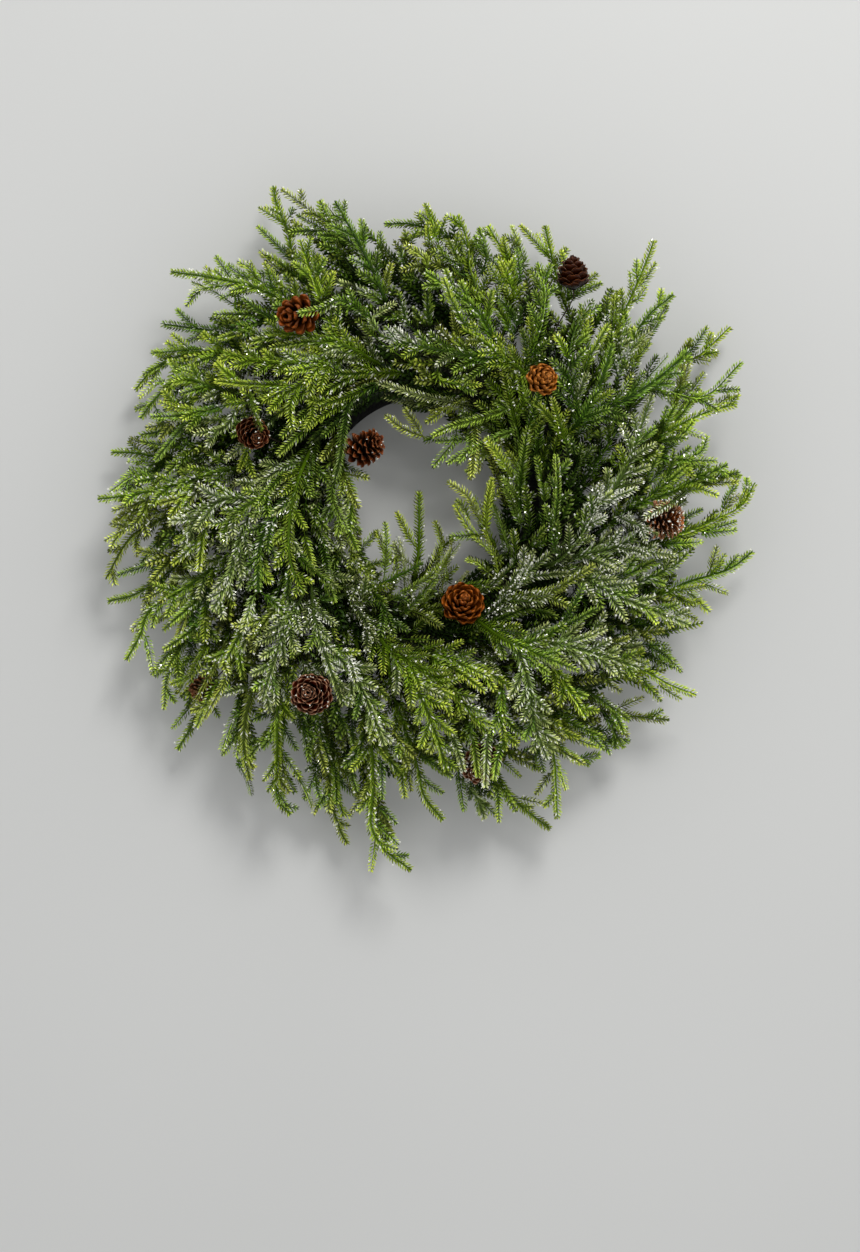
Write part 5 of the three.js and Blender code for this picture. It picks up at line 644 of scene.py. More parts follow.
# ------------------------------------------------------------------ branches
class Branch:
    def __init__(self, spray, kind, letter, pts, step=3.0, filler=False):
        self.spray, self.kind, self.letter, self.filler = spray, kind, letter, filler
        self.P = smooth_line(pts, step)
        if kind != "s":
            # small sideways wander, none at the ends
            n = len(self.P)
            f = np.sin(np.linspace(0, math.pi, n))[:, None]
            self.P = self.P + RNG.normal(0, 0.35, (1, 3)) * f * np.array([1, 1, 0.6])
        self.L = arc(self.P)[-1]


branches = []
for spray, rows in SPRAYS.items():
    first = True
    own = [r[1] for r in rows if r[1] != "M"]
    common = max(sorted(set(own)), key=own.count) if own else "G"
    for kind, letter, pts in rows:
        b = Branch(spray, kind, letter if letter != "M" else common, pts)
        b.root = first and kind == "s"
        first = False
        branches.append(b)

# ------------------------------------------------------------------ plan outline and filler twigs
CELL = 3.5
HALF = 300.0
NG = int(2 * HALF / CELL)
cover = np.zeros((NG, NG), np.int32)
top = np.zeros((NG, NG))


def cells(u, v):
    i = ((np.asarray(u) + HALF) / CELL).astype(int)
    j = ((np.asarray(v) + HALF) / CELL).astype(int)
    return np.clip(i, 0, NG - 1), np.clip(j, 0, NG - 1)


DISC = [(a, b) for a in range(-2, 3) for b in range(-2, 3) if a * a + b * b <= 2.0]


def stamp(P, skip=0):
    u, v = seen(P)
    i, j = cells(u, v)
    seen_cells = set()
    for a, b, z in zip(i[skip:], j[skip:], P[skip:, 2]):
        for da, db in DISC:
            q = (a + da, b + db)
            if 0 <= q[0] < NG and 0 <= q[1] < NG:
                if q not in seen_cells:
                    cover[q] += 1
                    seen_cells.add(q)
                top[q] = max(top[q], z)


for b in branches:
    if b.root:
        s = arc(b.P)
        stamp(b.P, int(np.searchsorted(s, 30)))
    else:
        stamp(b.P, 1 if b.kind == "b" else 0)

# the outline: how far the sprays reach at each angle, as seen
BINS = 72
reach = np.zeros(BINS)
for b in branches:
    u, v = seen(b.P)
    r, a = polar(u, v)
    k = ((a + math.pi) / (2 * math.pi) * BINS).astype(int) % BINS
    np.maximum.at(reach, k, r)
wide = np.array([np.sort(reach[[(i - 2) % BINS, (i - 1) % BINS, i, (i + 1) % BINS, (i + 2) % BINS]])[3] for i in range(BINS)])
reach = (wide + np.roll(wide, 1) + np.roll(wide, -1)) / 3
# the inner edge of the foliage by angle (degrees anticlockwise from +X)
HOLE = [(0, 68), (45, 64), (80, 74), (100, 82), (125, 84), (150, 76), (180, 64), (210, 66), (240, 80), (270, 86), (300, 80), (330, 76), (360, 68)]


def outer_at(a):
    t = (np.asarray(a) + math.pi) / (2 * math.pi) * BINS - 0.5
    i = np.floor(t).astype(int)
    f = t - i
    return reach[i % BINS] * (1 - f) + reach[(i + 1) % BINS] * f


def inner_at(a):
    d = np.degrees(np.asarray(a)) % 360
    return np.interp(d, [h[0] for h in HOLE], [h[1] for h in HOLE])


# dark gaps where the ring shows, and places kept open: x, y, radius as seen
GAPS = [(90, 40, 9), (93, 19, 8), (104, 85, 8), (72, 87, 6), (80, -5, 7), (66, -22, 5), (-66, 92, 7), (-58, 97, 7), (-48, 101, 8), (-38, 104, 6), (-30, 107, 6)]

uu = (np.arange(NG) + 0.5) * CELL - HALF
GU, GV = np.meshgrid(uu, uu, indexing="ij")
GR, GA = polar(GU, GV)
GO, GI = outer_at(GA), inner_at(GA)
rho = (GR - GI) / np.maximum(GO - GI, 1)
need = np.where((rho > 0) & (rho < 0.78), 3, 0)
need = np.where((rho >= 0.78) & (rho < 0.88), 2, need)
need = np.where((rho >= 0.88) & (rho < 0.94), 1, need)
need = np.where((rho > -0.02) & (rho < 0.06), 2, need)
for x, y, r in GAPS:
    need[(GU - x) ** 2 + (GV - y) ** 2 < r * r] = 0
for x, y, r in OPEN:
    need[(GU - x) ** 2 + (GV - y) ** 2 < (r + 4) ** 2] = 0
cone_discs = []
for name, (at, axis, w, h) in CONES.items():
    u, v = seen(np.array(at))
    cone_discs.append((float(u), float(v), w / 2 + 3.0, at[2], name))


def z_range(r):
    """Lowest and highest a filler sprig lies, by plan distance from the ring's middle."""
    hi = np.interp(r, [60, 95, 120, 150, 185, 220, 250, 285], [44, 58, 76, 82, 74, 56, 42, 30])
    lo = np.interp(r, [60, 86, 92, 110, 126, 133, 150, 200, 285], [8, 8, 26, 36, 30, 10, 7, 8, 10])
    return lo, hi


def flow(x, y):
    """The way the sprigs run in plan: anticlockwise round the ring, turning outwards with distance."""
    r, a = polar(x, y)
    tilt = math.radians(np.interp(r, [60, 95, 125, 165, 215, 260], [-4, 10, 28, 44, 58, 66]))
    tx, ty = -math.sin(a), math.cos(a)
    rx, ry = math.cos(a), math.sin(a)
    return np.array([tx * math.cos(tilt) + rx * math.sin(tilt), ty * math.cos(tilt) + ry * math.sin(tilt)])


class Index:
    """Points of every branch, for finding the stem that a new twig leaves."""

    def __init__(self):
        self.P, self.T, self.b, self.k = [], [], [], []
        self.cat = None

    def add(self, i, b):
        T = norm(np.gradient(b.P, axis=0))
        s = arc(b.P)
        ok = (s > (26 if getattr(b, "root", False) else 3)) & (s < s[-1] - 4)
        self.P.append(b.P[ok])
        self.T.append(T[ok])
        self.b.append(np.full(ok.sum(), i))
        self.k.append(np.nonzero(ok)[0])
        self.cat = None

    def near(self, p):
        if self.cat is None:
            self.cat = (np.vstack(self.P), np.vstack(self.T), np.concatenate(self.b), np.concatenate(self.k))
        return self.cat


index = Index()
for i, b in enumerate(branches):
    index.add(i, b)
traced_mid = np.array([b.P[len(b.P) * 2 // 3][:2] for b in branches if b.kind != "s"])
traced_letter = [b.letter for b in branches if b.kind != "s"]


def letter_near(x, y):
    d = np.hypot(traced_mid[:, 0] - x, traced_mid[:, 1] - y)
    k = np.argsort(d)[:5]
    w = 1 / (d[k] + 12)
    return traced_letter[RNG.choice(k, p=w / w.sum())]


def in_gap(u, v):
    for x, y, r in GAPS:
        if (u - x) ** 2 + (v - y) ** 2 < (r * 0.9) ** 2:
            return True
    return False


def opens(u, v, margin=3.5):
    """True where the floor has to stay in sight."""
    for x, y, r in OPEN:
        if (u - x) ** 2 + (v - y) ** 2 < (r + margin) ** 2:
            return True
    return False


def hides(line, slack=12.0):
    """True if a twig would hide a cone, fill a dark gap or run into the ring's skin."""
    lu, lv = seen(line)
    for cu, cv, cr, cz, name in cone_discs:
        if name in ("pine_cone_05", "pine_cone_07"):
            cr = cr * 0.62
        hit = (lu - cu) ** 2 + (lv - cv) ** 2 < cr * cr
        if (hit & (line[:, 2] > cz - slack)).any():
            return True
    for gx, gy, gr in GAPS:
        if ((lu - gx) ** 2 + (lv - gy) ** 2 < (gr * 0.8) ** 2).sum() > 1:
            return True
    for gx, gy, gr in OPEN:
        if ((lu[1:] - gx) ** 2 + (lv[1:] - gy) ** 2 < (gr + 3.0) ** 2).any():
            return True
    rr = np.hypot(line[:, 0] - RING[0], line[:, 1] - RING[1])
    mid_r, half = (RING_IN + RING_OUT) / 2, (RING_OUT - RING_IN) / 2
    skin = RING_TOP * np.sqrt(np.clip(1 - ((rr - mid_r) / half) ** 2, 0, 1))
    return bool((line[2:, 2] < skin[2:] + 3.5).any())


def turned(d, angle):
    c, s = math.cos(angle), math.sin(angle)
    return np.array([d[0] * c - d[1] * s, d[0] * s + d[1] * c])


def try_twig(u, v, low):
    r, a = polar(u, v)
    lo, hi = z_range(r)
    if hi <= lo + 2:
        return None
    z = lo + (hi - lo) * (RNG.uniform(0.0, 0.34) if low else RNG.uniform(0.30, 1.0) ** 0.8)
    x, y = unseen(u, v, z)
    d = turned(flow(x, y), RNG.normal(0, math.radians(14)))
    length = RNG.uniform(38, 62)
    start = np.array([x, y]) - d * length * RNG.uniform(0.35, 0.75)
    P, T, B, K = index.near(None)
    near = (np.abs(P[:, 0] - start[0]) < 28) & (np.abs(P[:, 1] - start[1]) < 28)
    if not near.any():
        return None
    k = np.nonzero(near)[0]
    dz = z - 5 - P[k, 2]
    cost = np.hypot(P[k, 0] - start[0], P[k, 1] - start[1]) + 0.75 * np.abs(dz)
    ahead = T[k, 0] * d[0] + T[k, 1] * d[1]
    cost = cost + np.where(ahead < 0.2, 60, 0) + np.where(ahead > 0.99, 5, 0)
    m = k[int(np.argmin(cost))]
    if cost.min() > 32:
        return None
    q, t = P[m], T[m]
    e = np.array([x, y]) + d * length * RNG.uniform(0.25, 0.6)
    eu, ev = seen(np.array([e[0], e[1], z]))
    er, ea = polar(eu, ev)
    eo, ei = float(outer_at(ea)), float(inner_at(ea))
    limit = 0.84 if low else RNG.choice([0.88, 0.92, 0.97])
    if er > eo * limit - 3 or er < ei - 1:
        return None
    if in_gap(eu, ev):
        return None
    elo, ehi = z_range(polar(e[0], e[1])[0])
    end = np.array([e[0], e[1], float(np.clip(z + RNG.normal(3, 5), max(elo - 2, 7.5), ehi + 4))])
    gap = np.linalg.norm(end - q)
    if gap < 20 or gap > 72:
        return None
    way = norm(end - q)
    if np.dot(way, t) < 0.35 or abs(way[2]) > 0.80:
        return None
    bend = q + way * gap * 0.42 + t * gap * 0.07 + np.array([0, 0, 1.0])
    pts = [q, bend, end]
    line = smooth_line(pts, 4)
    lr, la = polar(*seen(line))
    if (lr < inner_at(la) - 1).sum() > 1 or hides(line):
        return None
    return B[m], pts


def shoots(pts):
    """Short shoots on both sides of a twig."""
    q, bend, end = pts
    way = norm(end - bend)
    gap = np.linalg.norm(end - q)
    out = []
    if gap < 24:
        return out
    hand = RNG.choice([-1, 1])
    spots = [0.42, 0.64] if gap > 46 else [0.5]
    for f in spots:
        if RNG.random() < 0.55:
            continue
        at = bend + (end - bend) * max(0.0, (f - 0.42) / 0.58)
        ang = hand * math.radians(RNG.uniform(26, 42))
        hand = -hand
        d = turned(way[:2], ang)
        ln = (1 - f) * gap * RNG.uniform(0.7, 0.95) + RNG.uniform(5, 9)
        tip = at + np.array([d[0] * ln, d[1] * ln, way[2] * ln * 0.7 + RNG.normal(1, 2.5)])
        tip[2] = max(tip[2], 7.0)
        eu, ev = seen(tip)
        er, ea = polar(eu, ev)
        if er > float(outer_at(ea)) * 0.97 or er < float(inner_at(ea)) - 2 or in_gap(eu, ev):
            continue
        mid = (at + tip) / 2 + np.append(way[:2] * ln * 0.05, 0.5)
        if hides(smooth_line([at, mid, tip], 4)):
            continue
        out.append([at, mid, tip])
    return out


DARKER = {"Y": "L", "L": "G", "G": "D", "D": "D", "O": "G", "F": "O"}
made = 0


def place(parent, pts, letter, layer, step=5.0):
    global made
    b = Branch(branches[parent].spray, "t", letter, pts, step=step, filler=True)
    b.root = False
    b.layer = layer
    branches.append(b)
    stamp(b.P)
    made += 1
    return len(branches) - 1


def feather(k, first, last, spacing, l0, l1, letter=None):
    """Side shoots along a stem, left and right in turn."""
    b = branches[k]
    sl = arc(b.P)
    L = sl[-1]
    T = norm(np.gradient(b.P, axis=0))
    hand = RNG.choice([-1, 1])
    at = first + RNG.uniform(0, spacing)
    while at < L - last:
        i = int(np.searchsorted(sl, at))
        p, t = b.P[i], T[i]
        f = at / L
        at += spacing * RNG.uniform(0.75, 1.25)
        hand = -hand
        taken = (np.abs(traced_foot - p).sum(1) < 7).any()
        if taken and RNG.random() < 0.8:
            continue
        ln = (l0 + (l1 - l0) * f) * RNG.uniform(0.75, 1.2)
        flat = norm(np.append(t[:2], 0.0))
        d = turned(flat[:2], hand * math.radians(RNG.uniform(26, 44)))
        rise = np.clip(RNG.normal(0.16, 0.24) + 0.5 * t[2], -0.35, 0.75)
        d3 = norm(np.array([d[0], d[1], rise]))
        tip = p + d3 * ln
        tip[2] = max(tip[2], 7.0)
        eu, ev = seen(tip)
        er, ea = polar(eu, ev)
        if er > float(outer_at(ea)) * 0.98 or er < float(inner_at(ea)) - 3 or in_gap(eu, ev):
            continue
        mid = (p + tip) / 2 + t * ln * 0.06 + np.array([0, 0, 0.4])
        line = smooth_line([p, mid, tip], 4)
        if hides(line):
            continue
        i, j = cells(*seen(line[len(line) // 2:]))
        if cover[i, j].min() >= 4 and RNG.random() < 0.75:
            continue
        l = letter or (b.letter if RNG.random() < 0.6 else letter_near(tip[0], tip[1]))
        place(k, [p, mid, tip], l, 1)


traced_foot = np.array([b.P[0] for b in branches if b.kind != "s"])
for k in range(len(branches)):
    b = branches[k]
    if b.kind == "s":
        feather(k, 30 if b.root else 12, 11, 7.5, 34, 15)
    elif b.L > 46:
        r, a_ = polar(*seen(b.P[-1]))
        if not b.spray.startswith("inner"):
            feather(k, 14, 14, 15.0, 22, 15)

# a low dark layer that closes the view to the floor, then the body in two goes
for layer, want in ((0, 1), (1, 2), (1, 3)):
    goal = np.minimum(need, want)
    if layer == 0:
        goal = np.where(rho < 0.80, goal, 0)
    spots = np.argwhere(goal - cover > 0)
    RNG.shuffle(spots)
    if want == 3:
        spots = spots[: len(spots) // 2]
    for i, j in spots:
        if cover[i, j] >= goal[i, j]:
            continue
        for _ in range(5):
            got = try_twig(uu[i] + RNG.uniform(-1.5, 1.5), uu[j] + RNG.uniform(-1.5, 1.5), layer == 0)
            if got is None:
                continue
            parent, pts = got
            x, y = pts[-1][:2]
            letter = letter_near(x, y)
            if layer == 0:
                letter = DARKER[DARKER[letter]]
            elif want == 2 and RNG.random() < 0.3:
                letter = DARKER[letter]
            k = place(parent, pts, letter, layer)
            if branches[k].L > 22:
                index.add(k, branches[k])
            if layer:
                for extra in shoots(pts):
                    place(k, extra, letter, layer)
            break
short = int((cover < np.minimum(need, 1)).sum())
print("branches", len(branches), "filler", made, "uncovered cells", short, "of", int((need > 0).sum()),
      "length m %.1f" % (sum(b.L for b in branches) / 1000))


# ------------------------------------------------------------------ needles and stems
def tube(soup, P, r0, r1, sides, c0, c1):
    """A closed tapered tube along P, its colour running from c0 to c1."""
    T, U, V = frames(P)
    s = arc(P)
    f = s / s[-1]
    r = (r0 + (r1 - r0) * f)[:, None, None]
    ang = np.arange(sides) * 2 * math.pi / sides
    ring = U[:, None, :] * np.cos(ang)[None, :, None] + V[:, None, :] * np.sin(ang)[None, :, None]
    n = len(P)
    v = np.vstack([(P[:, None, :] + ring * r).reshape(-1, 3), P[0] - T[0] * r0 * 0.4, P[-1] + T[-1] * r1 * 1.2])
    i = np.arange(n - 1)[:, None] * sides
    k = np.arange(sides)[None, :]
    a, b = (i + k).ravel(), (i + (k + 1) % sides).ravel()
    k = np.arange(sides)
    e = (n - 1) * sides
    faces = np.vstack([
        np.stack([a, b, b + sides], 1), np.stack([a, b + sides, a + sides], 1),
        np.stack([np.full(sides, n * sides), (k + 1) % sides, k], 1),
        np.stack([np.full(sides, n * sides + 1), e + k, e + (k + 1) % sides], 1)])
    w = np.concatenate([np.repeat(f, sides), [0, 1]])[:, None]
    soup.add(v, faces, c0 * (1 - w) + c1 * w, np.tile([0.0, 0.0, 0.5, 0.0], (len(v), 1)))


# where the needles stand round a twig, 0 being its upper side, and how far each row is set back, in pitches
ROWS = np.radians([41.0, -41.0, 85.0, -85.0, 152.0, -152.0])
SHIFT = np.array([0.0, 0.04, 0.02, 0.05, 0.5, 0.54])


def needles(soup, b, start, per_mm, length, width, tones, stem, glitter, frost, gain, low=False):
    """Needles in a spiral round a branch, each a closed sliver leaning forward, and flakes of glitter on some."""
    P = b.P
    s = arc(P)
    L = s[-1]
    rows = len(ROWS)
    pitch = rows / per_mm
    m = int((L - start) / pitch)
    if m < 2:
        return
    row = np.tile(np.arange(rows), m)
    at = start + (np.repeat(np.arange(m), rows) + SHIFT[row] + 0.3) * pitch
    at = np.clip(at + RNG.normal(0, 0.08, len(at)), 0, L)
    n = len(at)
    T, U, V = frames(P)
    i = np.clip(np.searchsorted(s, at, side="right") - 1, 0, len(P) - 2)
    w = ((at - s[i]) / np.maximum(s[i + 1] - s[i], 1e-9))[:, None]
    p = P[i] * (1 - w) + P[i + 1] * w
    t = norm(T[i] * (1 - w) + T[i + 1] * w)
    x = U[i] * (1 - w) + U[i + 1] * w
    x = norm(x - t * (x * t).sum(1, keepdims=True))
    y = np.cross(t, x)
    phi = ROWS[row] + RNG.uniform(-0.12, 0.12) + RNG.normal(0, 0.08, n)
    end = np.clip((at - (L - 8.0)) / 8.0, 0, 1)
    lean = np.radians(np.clip(47 - 22 * end**1.5 + RNG.normal(0, 4, n), 8, 72))
    rad = x * np.cos(phi)[:, None] + y * np.sin(phi)[:, None]
    d = t * np.cos(lean)[:, None] + rad * np.sin(lean)[:, None]
    up = rad * np.cos(lean)[:, None] - t * np.sin(lean)[:, None]
    face = x - d * (x * d).sum(1, keepdims=True)
    up = norm(0.62 * norm(face) * np.where((face * up).sum(1, keepdims=True) < -0.5, -1, 1) + 0.38 * up)
    up = norm(up - d * (up * d).sum(1, keepdims=True))
    side = np.cross(d, up)
    flat = np.abs(np.sin(phi))
    taper = 1 - 0.24 * np.clip(at / L, 0, 1) ** 1.6
    ln = length * taper * (0.84 + 0.20 * flat) * (1 - 0.22 * end) * RNG.uniform(0.88, 1.12, n) * np.clip(0.6 + (at - start) / 9.0, 0.6, 1)
    wd = width * RNG.uniform(0.85, 1.15, n)
    r = stem[0] + (stem[1] - stem[0]) * at / L
    a = p + rad * (r * 0.5)[:, None]
    m = a + d * (ln * 0.60)[:, None] + up * (wd * 0.30)[:, None]
    tip = a + d * ln[:, None]
    v = np.stack([a, m - side * (wd / 2)[:, None], m + side * (wd / 2)[:, None], tip], 1)
    o = np.arange(n)[:, None, None] * 4
    f = (o + np.array([[0, 2, 1], [3, 1, 2], [0, 1, 3], [0, 3, 2]])[None]).reshape(-1, 3)
    along = (np.clip(at / L, 0, 1) ** 1.4)[:, None]
    # painted shade: each needle is darkened by how far it lies below the highest foliage over it, capped in the hole
    # and at the rim
    mid = a + d * (ln * 0.5)[:, None]
    under = top[cells(*seen(mid))] - mid[:, 2]
    least = np.interp(polar(mid[:, 0], mid[:, 1])[0], [84, 92, 175, 235], [0.38, 0.05, 0.05, 0.50])
    shade = np.ones((n, 1)) if low else np.clip(1 - (under - 3.5) / 13, least, 1.0)[:, None]
    open_ = shade[:, 0] > 0.7
    thick = frost_at(a[:, 0], a[:, 1]) * (1.5 if RNG.random() < 0.42 else 0.22)
    foot, near, far = tones
    above = np.cos(phi)[:, None]
    # painted light and shade: needles on a twig's upper side are made lighter and those on its underside much darker;
    # the random factor is each needle's own tone
    lit = gain * shade * np.exp(RNG.normal(0.0, 0.24, n)).clip(0.5, 1.8)[:, None] * (1.00 + 0.30 * above)
    lit = lit * np.where(above < 0, 0.40, 1.0)
    body = (near * (1 - along) + far * along) * lit
    chance = np.clip(frost + 0.85 * thick, 0, 0.85) * open_ if frost > 0 else np.zeros(n)
    fr = np.where(RNG.random(n) < chance, RNG.uniform(0.5, 1.0, n), 0.0)[:, None]
    white = lin(248, 250, 240)[None]
    # painted light: a needle on the twig's upper side keeps the near colour at its foot, one on the underside the
    # near-black foot
    core = np.clip(above * 1.1, 0, 1) * 0.9
    c = np.zeros((n, 4, 3))
    c[:, 0] = (foot * (1 - core) + near * core) * gain * shade
    c[:, 1] = c[:, 2] = body * (1 - fr * 0.9) + white * fr * 0.9
    # painted highlights: each needle's tip is lit well past its body colour, and some needles in the open get a pale
    # yellow-white tip
    pale = (RNG.random(n) < 0.18)[:, None] * open_[:, None] * (0.0 if low else 0.6)
    c[:, 3] = np.minimum(body * 1.85, 1) * (1 - fr) + white * fr
    c[:, 3] = c[:, 3] * (1 - pale) + lin(228, 238, 190)[None] * pale
    e = np.zeros((n, 4, 4))
    e[:, 0] = [0.0, 0, 0, 0]
    e[:, 1:3, 0] = 0.4
    e[:, 3, 0] = 1.0
    e[:, 1:, 1] = fr
    e[:, :, 2] = RNG.random(n)[:, None]
    soup.add(v.reshape(-1, 3), f, c.reshape(-1, 3), e.reshape(-1, 4))
    g = np.nonzero((RNG.random(n) < glitter * (1 + 2.0 * thick)) & (above[:, 0] > 0.0) & open_)[0]
    if len(g):
        flakes(soup, a[g] + d[g] * (ln[g] * RNG.uniform(0.60, 1.02, len(g)))[:, None] + up[g] * 0.25)


def flakes(soup, at):
    """Small thin chips, lying every way."""
    n = len(at)
    c = norm(RNG.normal(size=(n, 3)) + np.array([0.5, 1.25, 2.9]))
    a = norm(np.cross(c, RNG.normal(size=(n, 3))))
    b = np.cross(c, a)
    k = RNG.uniform(0.75, 1.4, n)[:, None]
    v = np.stack([at + a * k, at - a * k * 0.5 + b * k * 0.86, at - a * k * 0.5 - b * k * 0.86, at + c * k * 0.35], 1)
    o = np.arange(n)[:, None, None] * 4
    f = (o + np.array([[0, 2, 1], [0, 1, 3], [1, 2, 3], [2, 0, 3]])[None]).reshape(-1, 3)
    e = np.zeros((n, 4, 4))
    e[:, :, 2] = RNG.random(n)[:, None]
    soup.add(v.reshape(-1, 3), f, np.full((n * 4, 3), 0.80), e.reshape(-1, 4), mat=1)


def build_sprays():
    soups = {}
    count = 0
    for b in branches:
        soup = soups.setdefault(b.spray, Soup())
        foot, near, far = PALETTE[b.letter]
        u, v = seen(b.P)
        i, j = cells(u, v)
        depth = float(np.median(top[i, j] - b.P[:, 2]))
        low = getattr(b, "layer", 1) == 0
        mid = b.P[len(b.P) // 2]
        frost, glitter = FROST[b.letter], GLITTER[b.letter] * min(math.exp(RNG.normal(-0.25, 0.8)), 2.6)
        # each sprig is lighter or darker by its distance from the ring's middle, and lighter towards the top and right
        # as painted light from the lamp's side
        r, _ = polar(mid[0], mid[1])
        gain = math.exp(RNG.normal(0, 0.17)) * np.interp(r, [70, 84, 98, 125, 170, 230, 280], [1.08, 0.84, 0.66, 0.80, 1.06, 1.22, 1.28])
        gain *= 0.99 + 0.0010 * float(np.clip(mid[1] + 60, -150, 60)) + 0.0006 * float(np.clip(mid[0] + mid[1] * 0.6, 0, 220))
        if r < 84 and b.kind != "s" and not low:
            near, glitter = near * 0.65 + far * 0.35, glitter * 1.3
        if b.kind == "s":
            sizes = (1.9, 0.9) if b.root else (1.3, 0.8)
            far = near * 0.45 + far * 0.55
            start = 16.0 if b.root else 2.0
            per, ln, wd = 2.25, 7.2, 1.22
            tube(soup, b.P, sizes[0], sizes[1] * 0.8, 5, near * 0.4, near * 0.9)
        else:
            sizes = (0.68, 0.34)
            start = 6.0 if b.kind == "b" else 1.5
            per, ln, wd = RNG.uniform(2.15, 2.4), RNG.uniform(5.7, 7.0), RNG.uniform(1.08, 1.28)
            tube(soup, b.P, sizes[0], sizes[1], 3, near * 0.75, near * 1.05)
        if low:
            per, ln, wd, glitter, frost = 1.3, 8.0, 2.6, glitter * 0.1, 0.0
            # painted shade: the low layer is darker towards the ring and lighter towards the rim, where light reaches
            foot, near, far = [q * np.interp(r, [150, 235], [0.5, 1.2]) for q in LOW_PAINTED_SHADE]
        elif b.filler and depth > 20:
            per, wd, frost = 1.6, 1.9, 0.0
        needles(soup, b, start, per, ln, wd, (foot, near, far), sizes, glitter, frost, gain, low)
        count += 1
    return soups


# ------------------------------------------------------------------ cones
def cone_soup(at, axis, w, h, style, seed):
    rng = np.random.default_rng(seed)
    soup = Soup()
    A = norm(np.array(axis))
    X = norm(np.cross(A, [0.3, 0.9, 0.1]))
    Y = np.cross(A, X)
    C = np.array(at)
    w = w * style["big"]
    n, open_low, open_high, wide, curl, thick = style["n"], style["low"], style["high"], style["wide"], style["curl"], style["thick"]
    # core, near black: painted shade in the cone's middle
    rings, sides = 9, 12
    v, col = [], []
    for k in range(rings + 1):
        f = k / rings
        s = -h * 0.40 + h * 0.74 * f
        r = w * 0.20 * math.sin(math.pi * (0.10 + 0.86 * f)) ** 0.7
        for q in range(sides):
            a = 2 * math.pi * q / sides
            v.append(C + A * s + (X * math.cos(a) + Y * math.sin(a)) * r)
    v += [C - A * h * 0.42, C + A * h * 0.36]
    f = []
    for k in range(rings):
        for q in range(sides):
            a, b = k * sides + q, k * sides + (q + 1) % sides
            f += [(a, b, b + sides), (a, b + sides, a + sides)]
    m = (rings + 1) * sides
    for q in range(sides):
        f += [(m, (q + 1) % sides, q), (m + 1, m - sides + q, m - sides + (q + 1) % sides)]
    soup.add(np.array(v), f, np.tile(style["dark"] * 0.6, (len(v), 1)), np.tile([0.1, 0.3, 0.5, 0.0], (len(v), 1)))
    U = np.array([0.0, 0.30, 0.55, 0.75, 0.88, 0.95, 1.0])[:, None]
    V = np.array([-1.0, -0.80, -0.35, 0.35, 0.80, 1.0])[None, :]
    NU, NV = U.shape[0], V.shape[1]
    ends = []
    for i in range(n):
        t = (i + 0.5) / n
        phi = i * 2.39996 + rng.normal(0, 0.05)
        R = X * math.cos(phi) + Y * math.sin(phi)
        S = np.cross(A, R)
        s0 = -h * 0.36 + h * 0.66 * t**1.05
        core = w * 0.17 * math.sin(math.pi * (0.16 + 0.78 * t)) ** 0.7
        lean = math.radians(open_low + (open_high - open_low) * t**style["pow"] + rng.normal(0, 3))
        O = R * math.cos(lean) + A * math.sin(lean)
        N = -R * math.sin(lean) + A * math.cos(lean)
        # length so that the ends lie on the cone's outline
        if style.get("bud"):
            # a closed, egg-shaped cone: each scale ends on its outline
            end_s = -h * 0.30 + h * 0.80 * t**0.85
            rise = max(0.0, (end_s + h * 0.16) / (h * 0.66))
            end_r = (w / 2) * (1 - rise**style["bud"]) * (0.90 + 0.10 * min(1.0, t * 8)) + w * 0.03
            s0 = max(-h * 0.38, end_s - h * 0.42)
            lean = math.atan2(end_s - s0, max(end_r - core * 0.6, 0.3))
            ln = math.hypot(end_s - s0, end_r - core * 0.6) * rng.uniform(0.96, 1.03)
            O = R * math.cos(lean) + A * math.sin(lean)
            N = -R * math.sin(lean) + A * math.cos(lean)
        else:
            want = (w / 2) * (1 - max(0.0, (t - 0.30) / 0.70) ** 2.2 * 0.80) * (0.93 if t < 0.06 else 1.0)
            ln = (want - core) / max(math.cos(lean), 0.30)
            ln = min(ln, h * 0.5) * rng.uniform(0.93, 1.03)
            end_s = s0 + ln * math.sin(lean)
            if end_s > h * 0.49:
                ln *= max(0.4, (h * 0.49 - s0) / max(end_s - s0, 1e-6))
        half = w * wide * (1 - 0.42 * t) * rng.uniform(0.88, 1.10)
        k = style["tip"]
        W = half * np.where(U < k, 0.42 + 0.58 * np.sin(U / k * math.pi / 2) ** 1.2, np.sqrt(np.clip(1 - ((U - k) / (1.03 - k)) ** 2, 0.02, 1)))
        lift = curl * ln * U**2.2 + style["cup"] * half * V**2 * (0.25 + 0.75 * U) + style["lip"] * ln * np.clip(U - 0.8, 0, 1) ** 1.5
        pos = (C + A * s0 + R * core * 0.6)[None, None] + O[None, None] * (ln * U)[..., None] + S[None, None] * (W * V)[..., None] + N[None, None] * lift[..., None]
        T = (thick * (0.55 + 0.75 * U**2)) * (1 - 0.45 * V**2)
        T = T * np.where(U > 0.97, 0.55, 1.0)
        hi, lo = pos + N * (T / 2)[..., None], pos - N * (T / 2)[..., None]
        v = np.concatenate([hi.reshape(-1, 3), lo.reshape(-1, 3)])
        q = np.arange(NU * NV).reshape(NU, NV)
        a, b, c, d = q[:-1, :-1].ravel(), q[1:, :-1].ravel(), q[1:, 1:].ravel(), q[:-1, 1:].ravel()
        k = NU * NV
        fs = [np.stack([a, b, c], 1), np.stack([a, c, d], 1), np.stack([a + k, c + k, b + k], 1), np.stack([a + k, d + k, c + k], 1)]
        rim = np.concatenate([q[0, :], q[1:, -1], q[-1, -2::-1], q[-2:0:-1, 0]])
        nx = np.roll(rim, -1)
        fs += [np.stack([rim, nx, nx + k], 1), np.stack([rim, nx + k, rim + k], 1)]
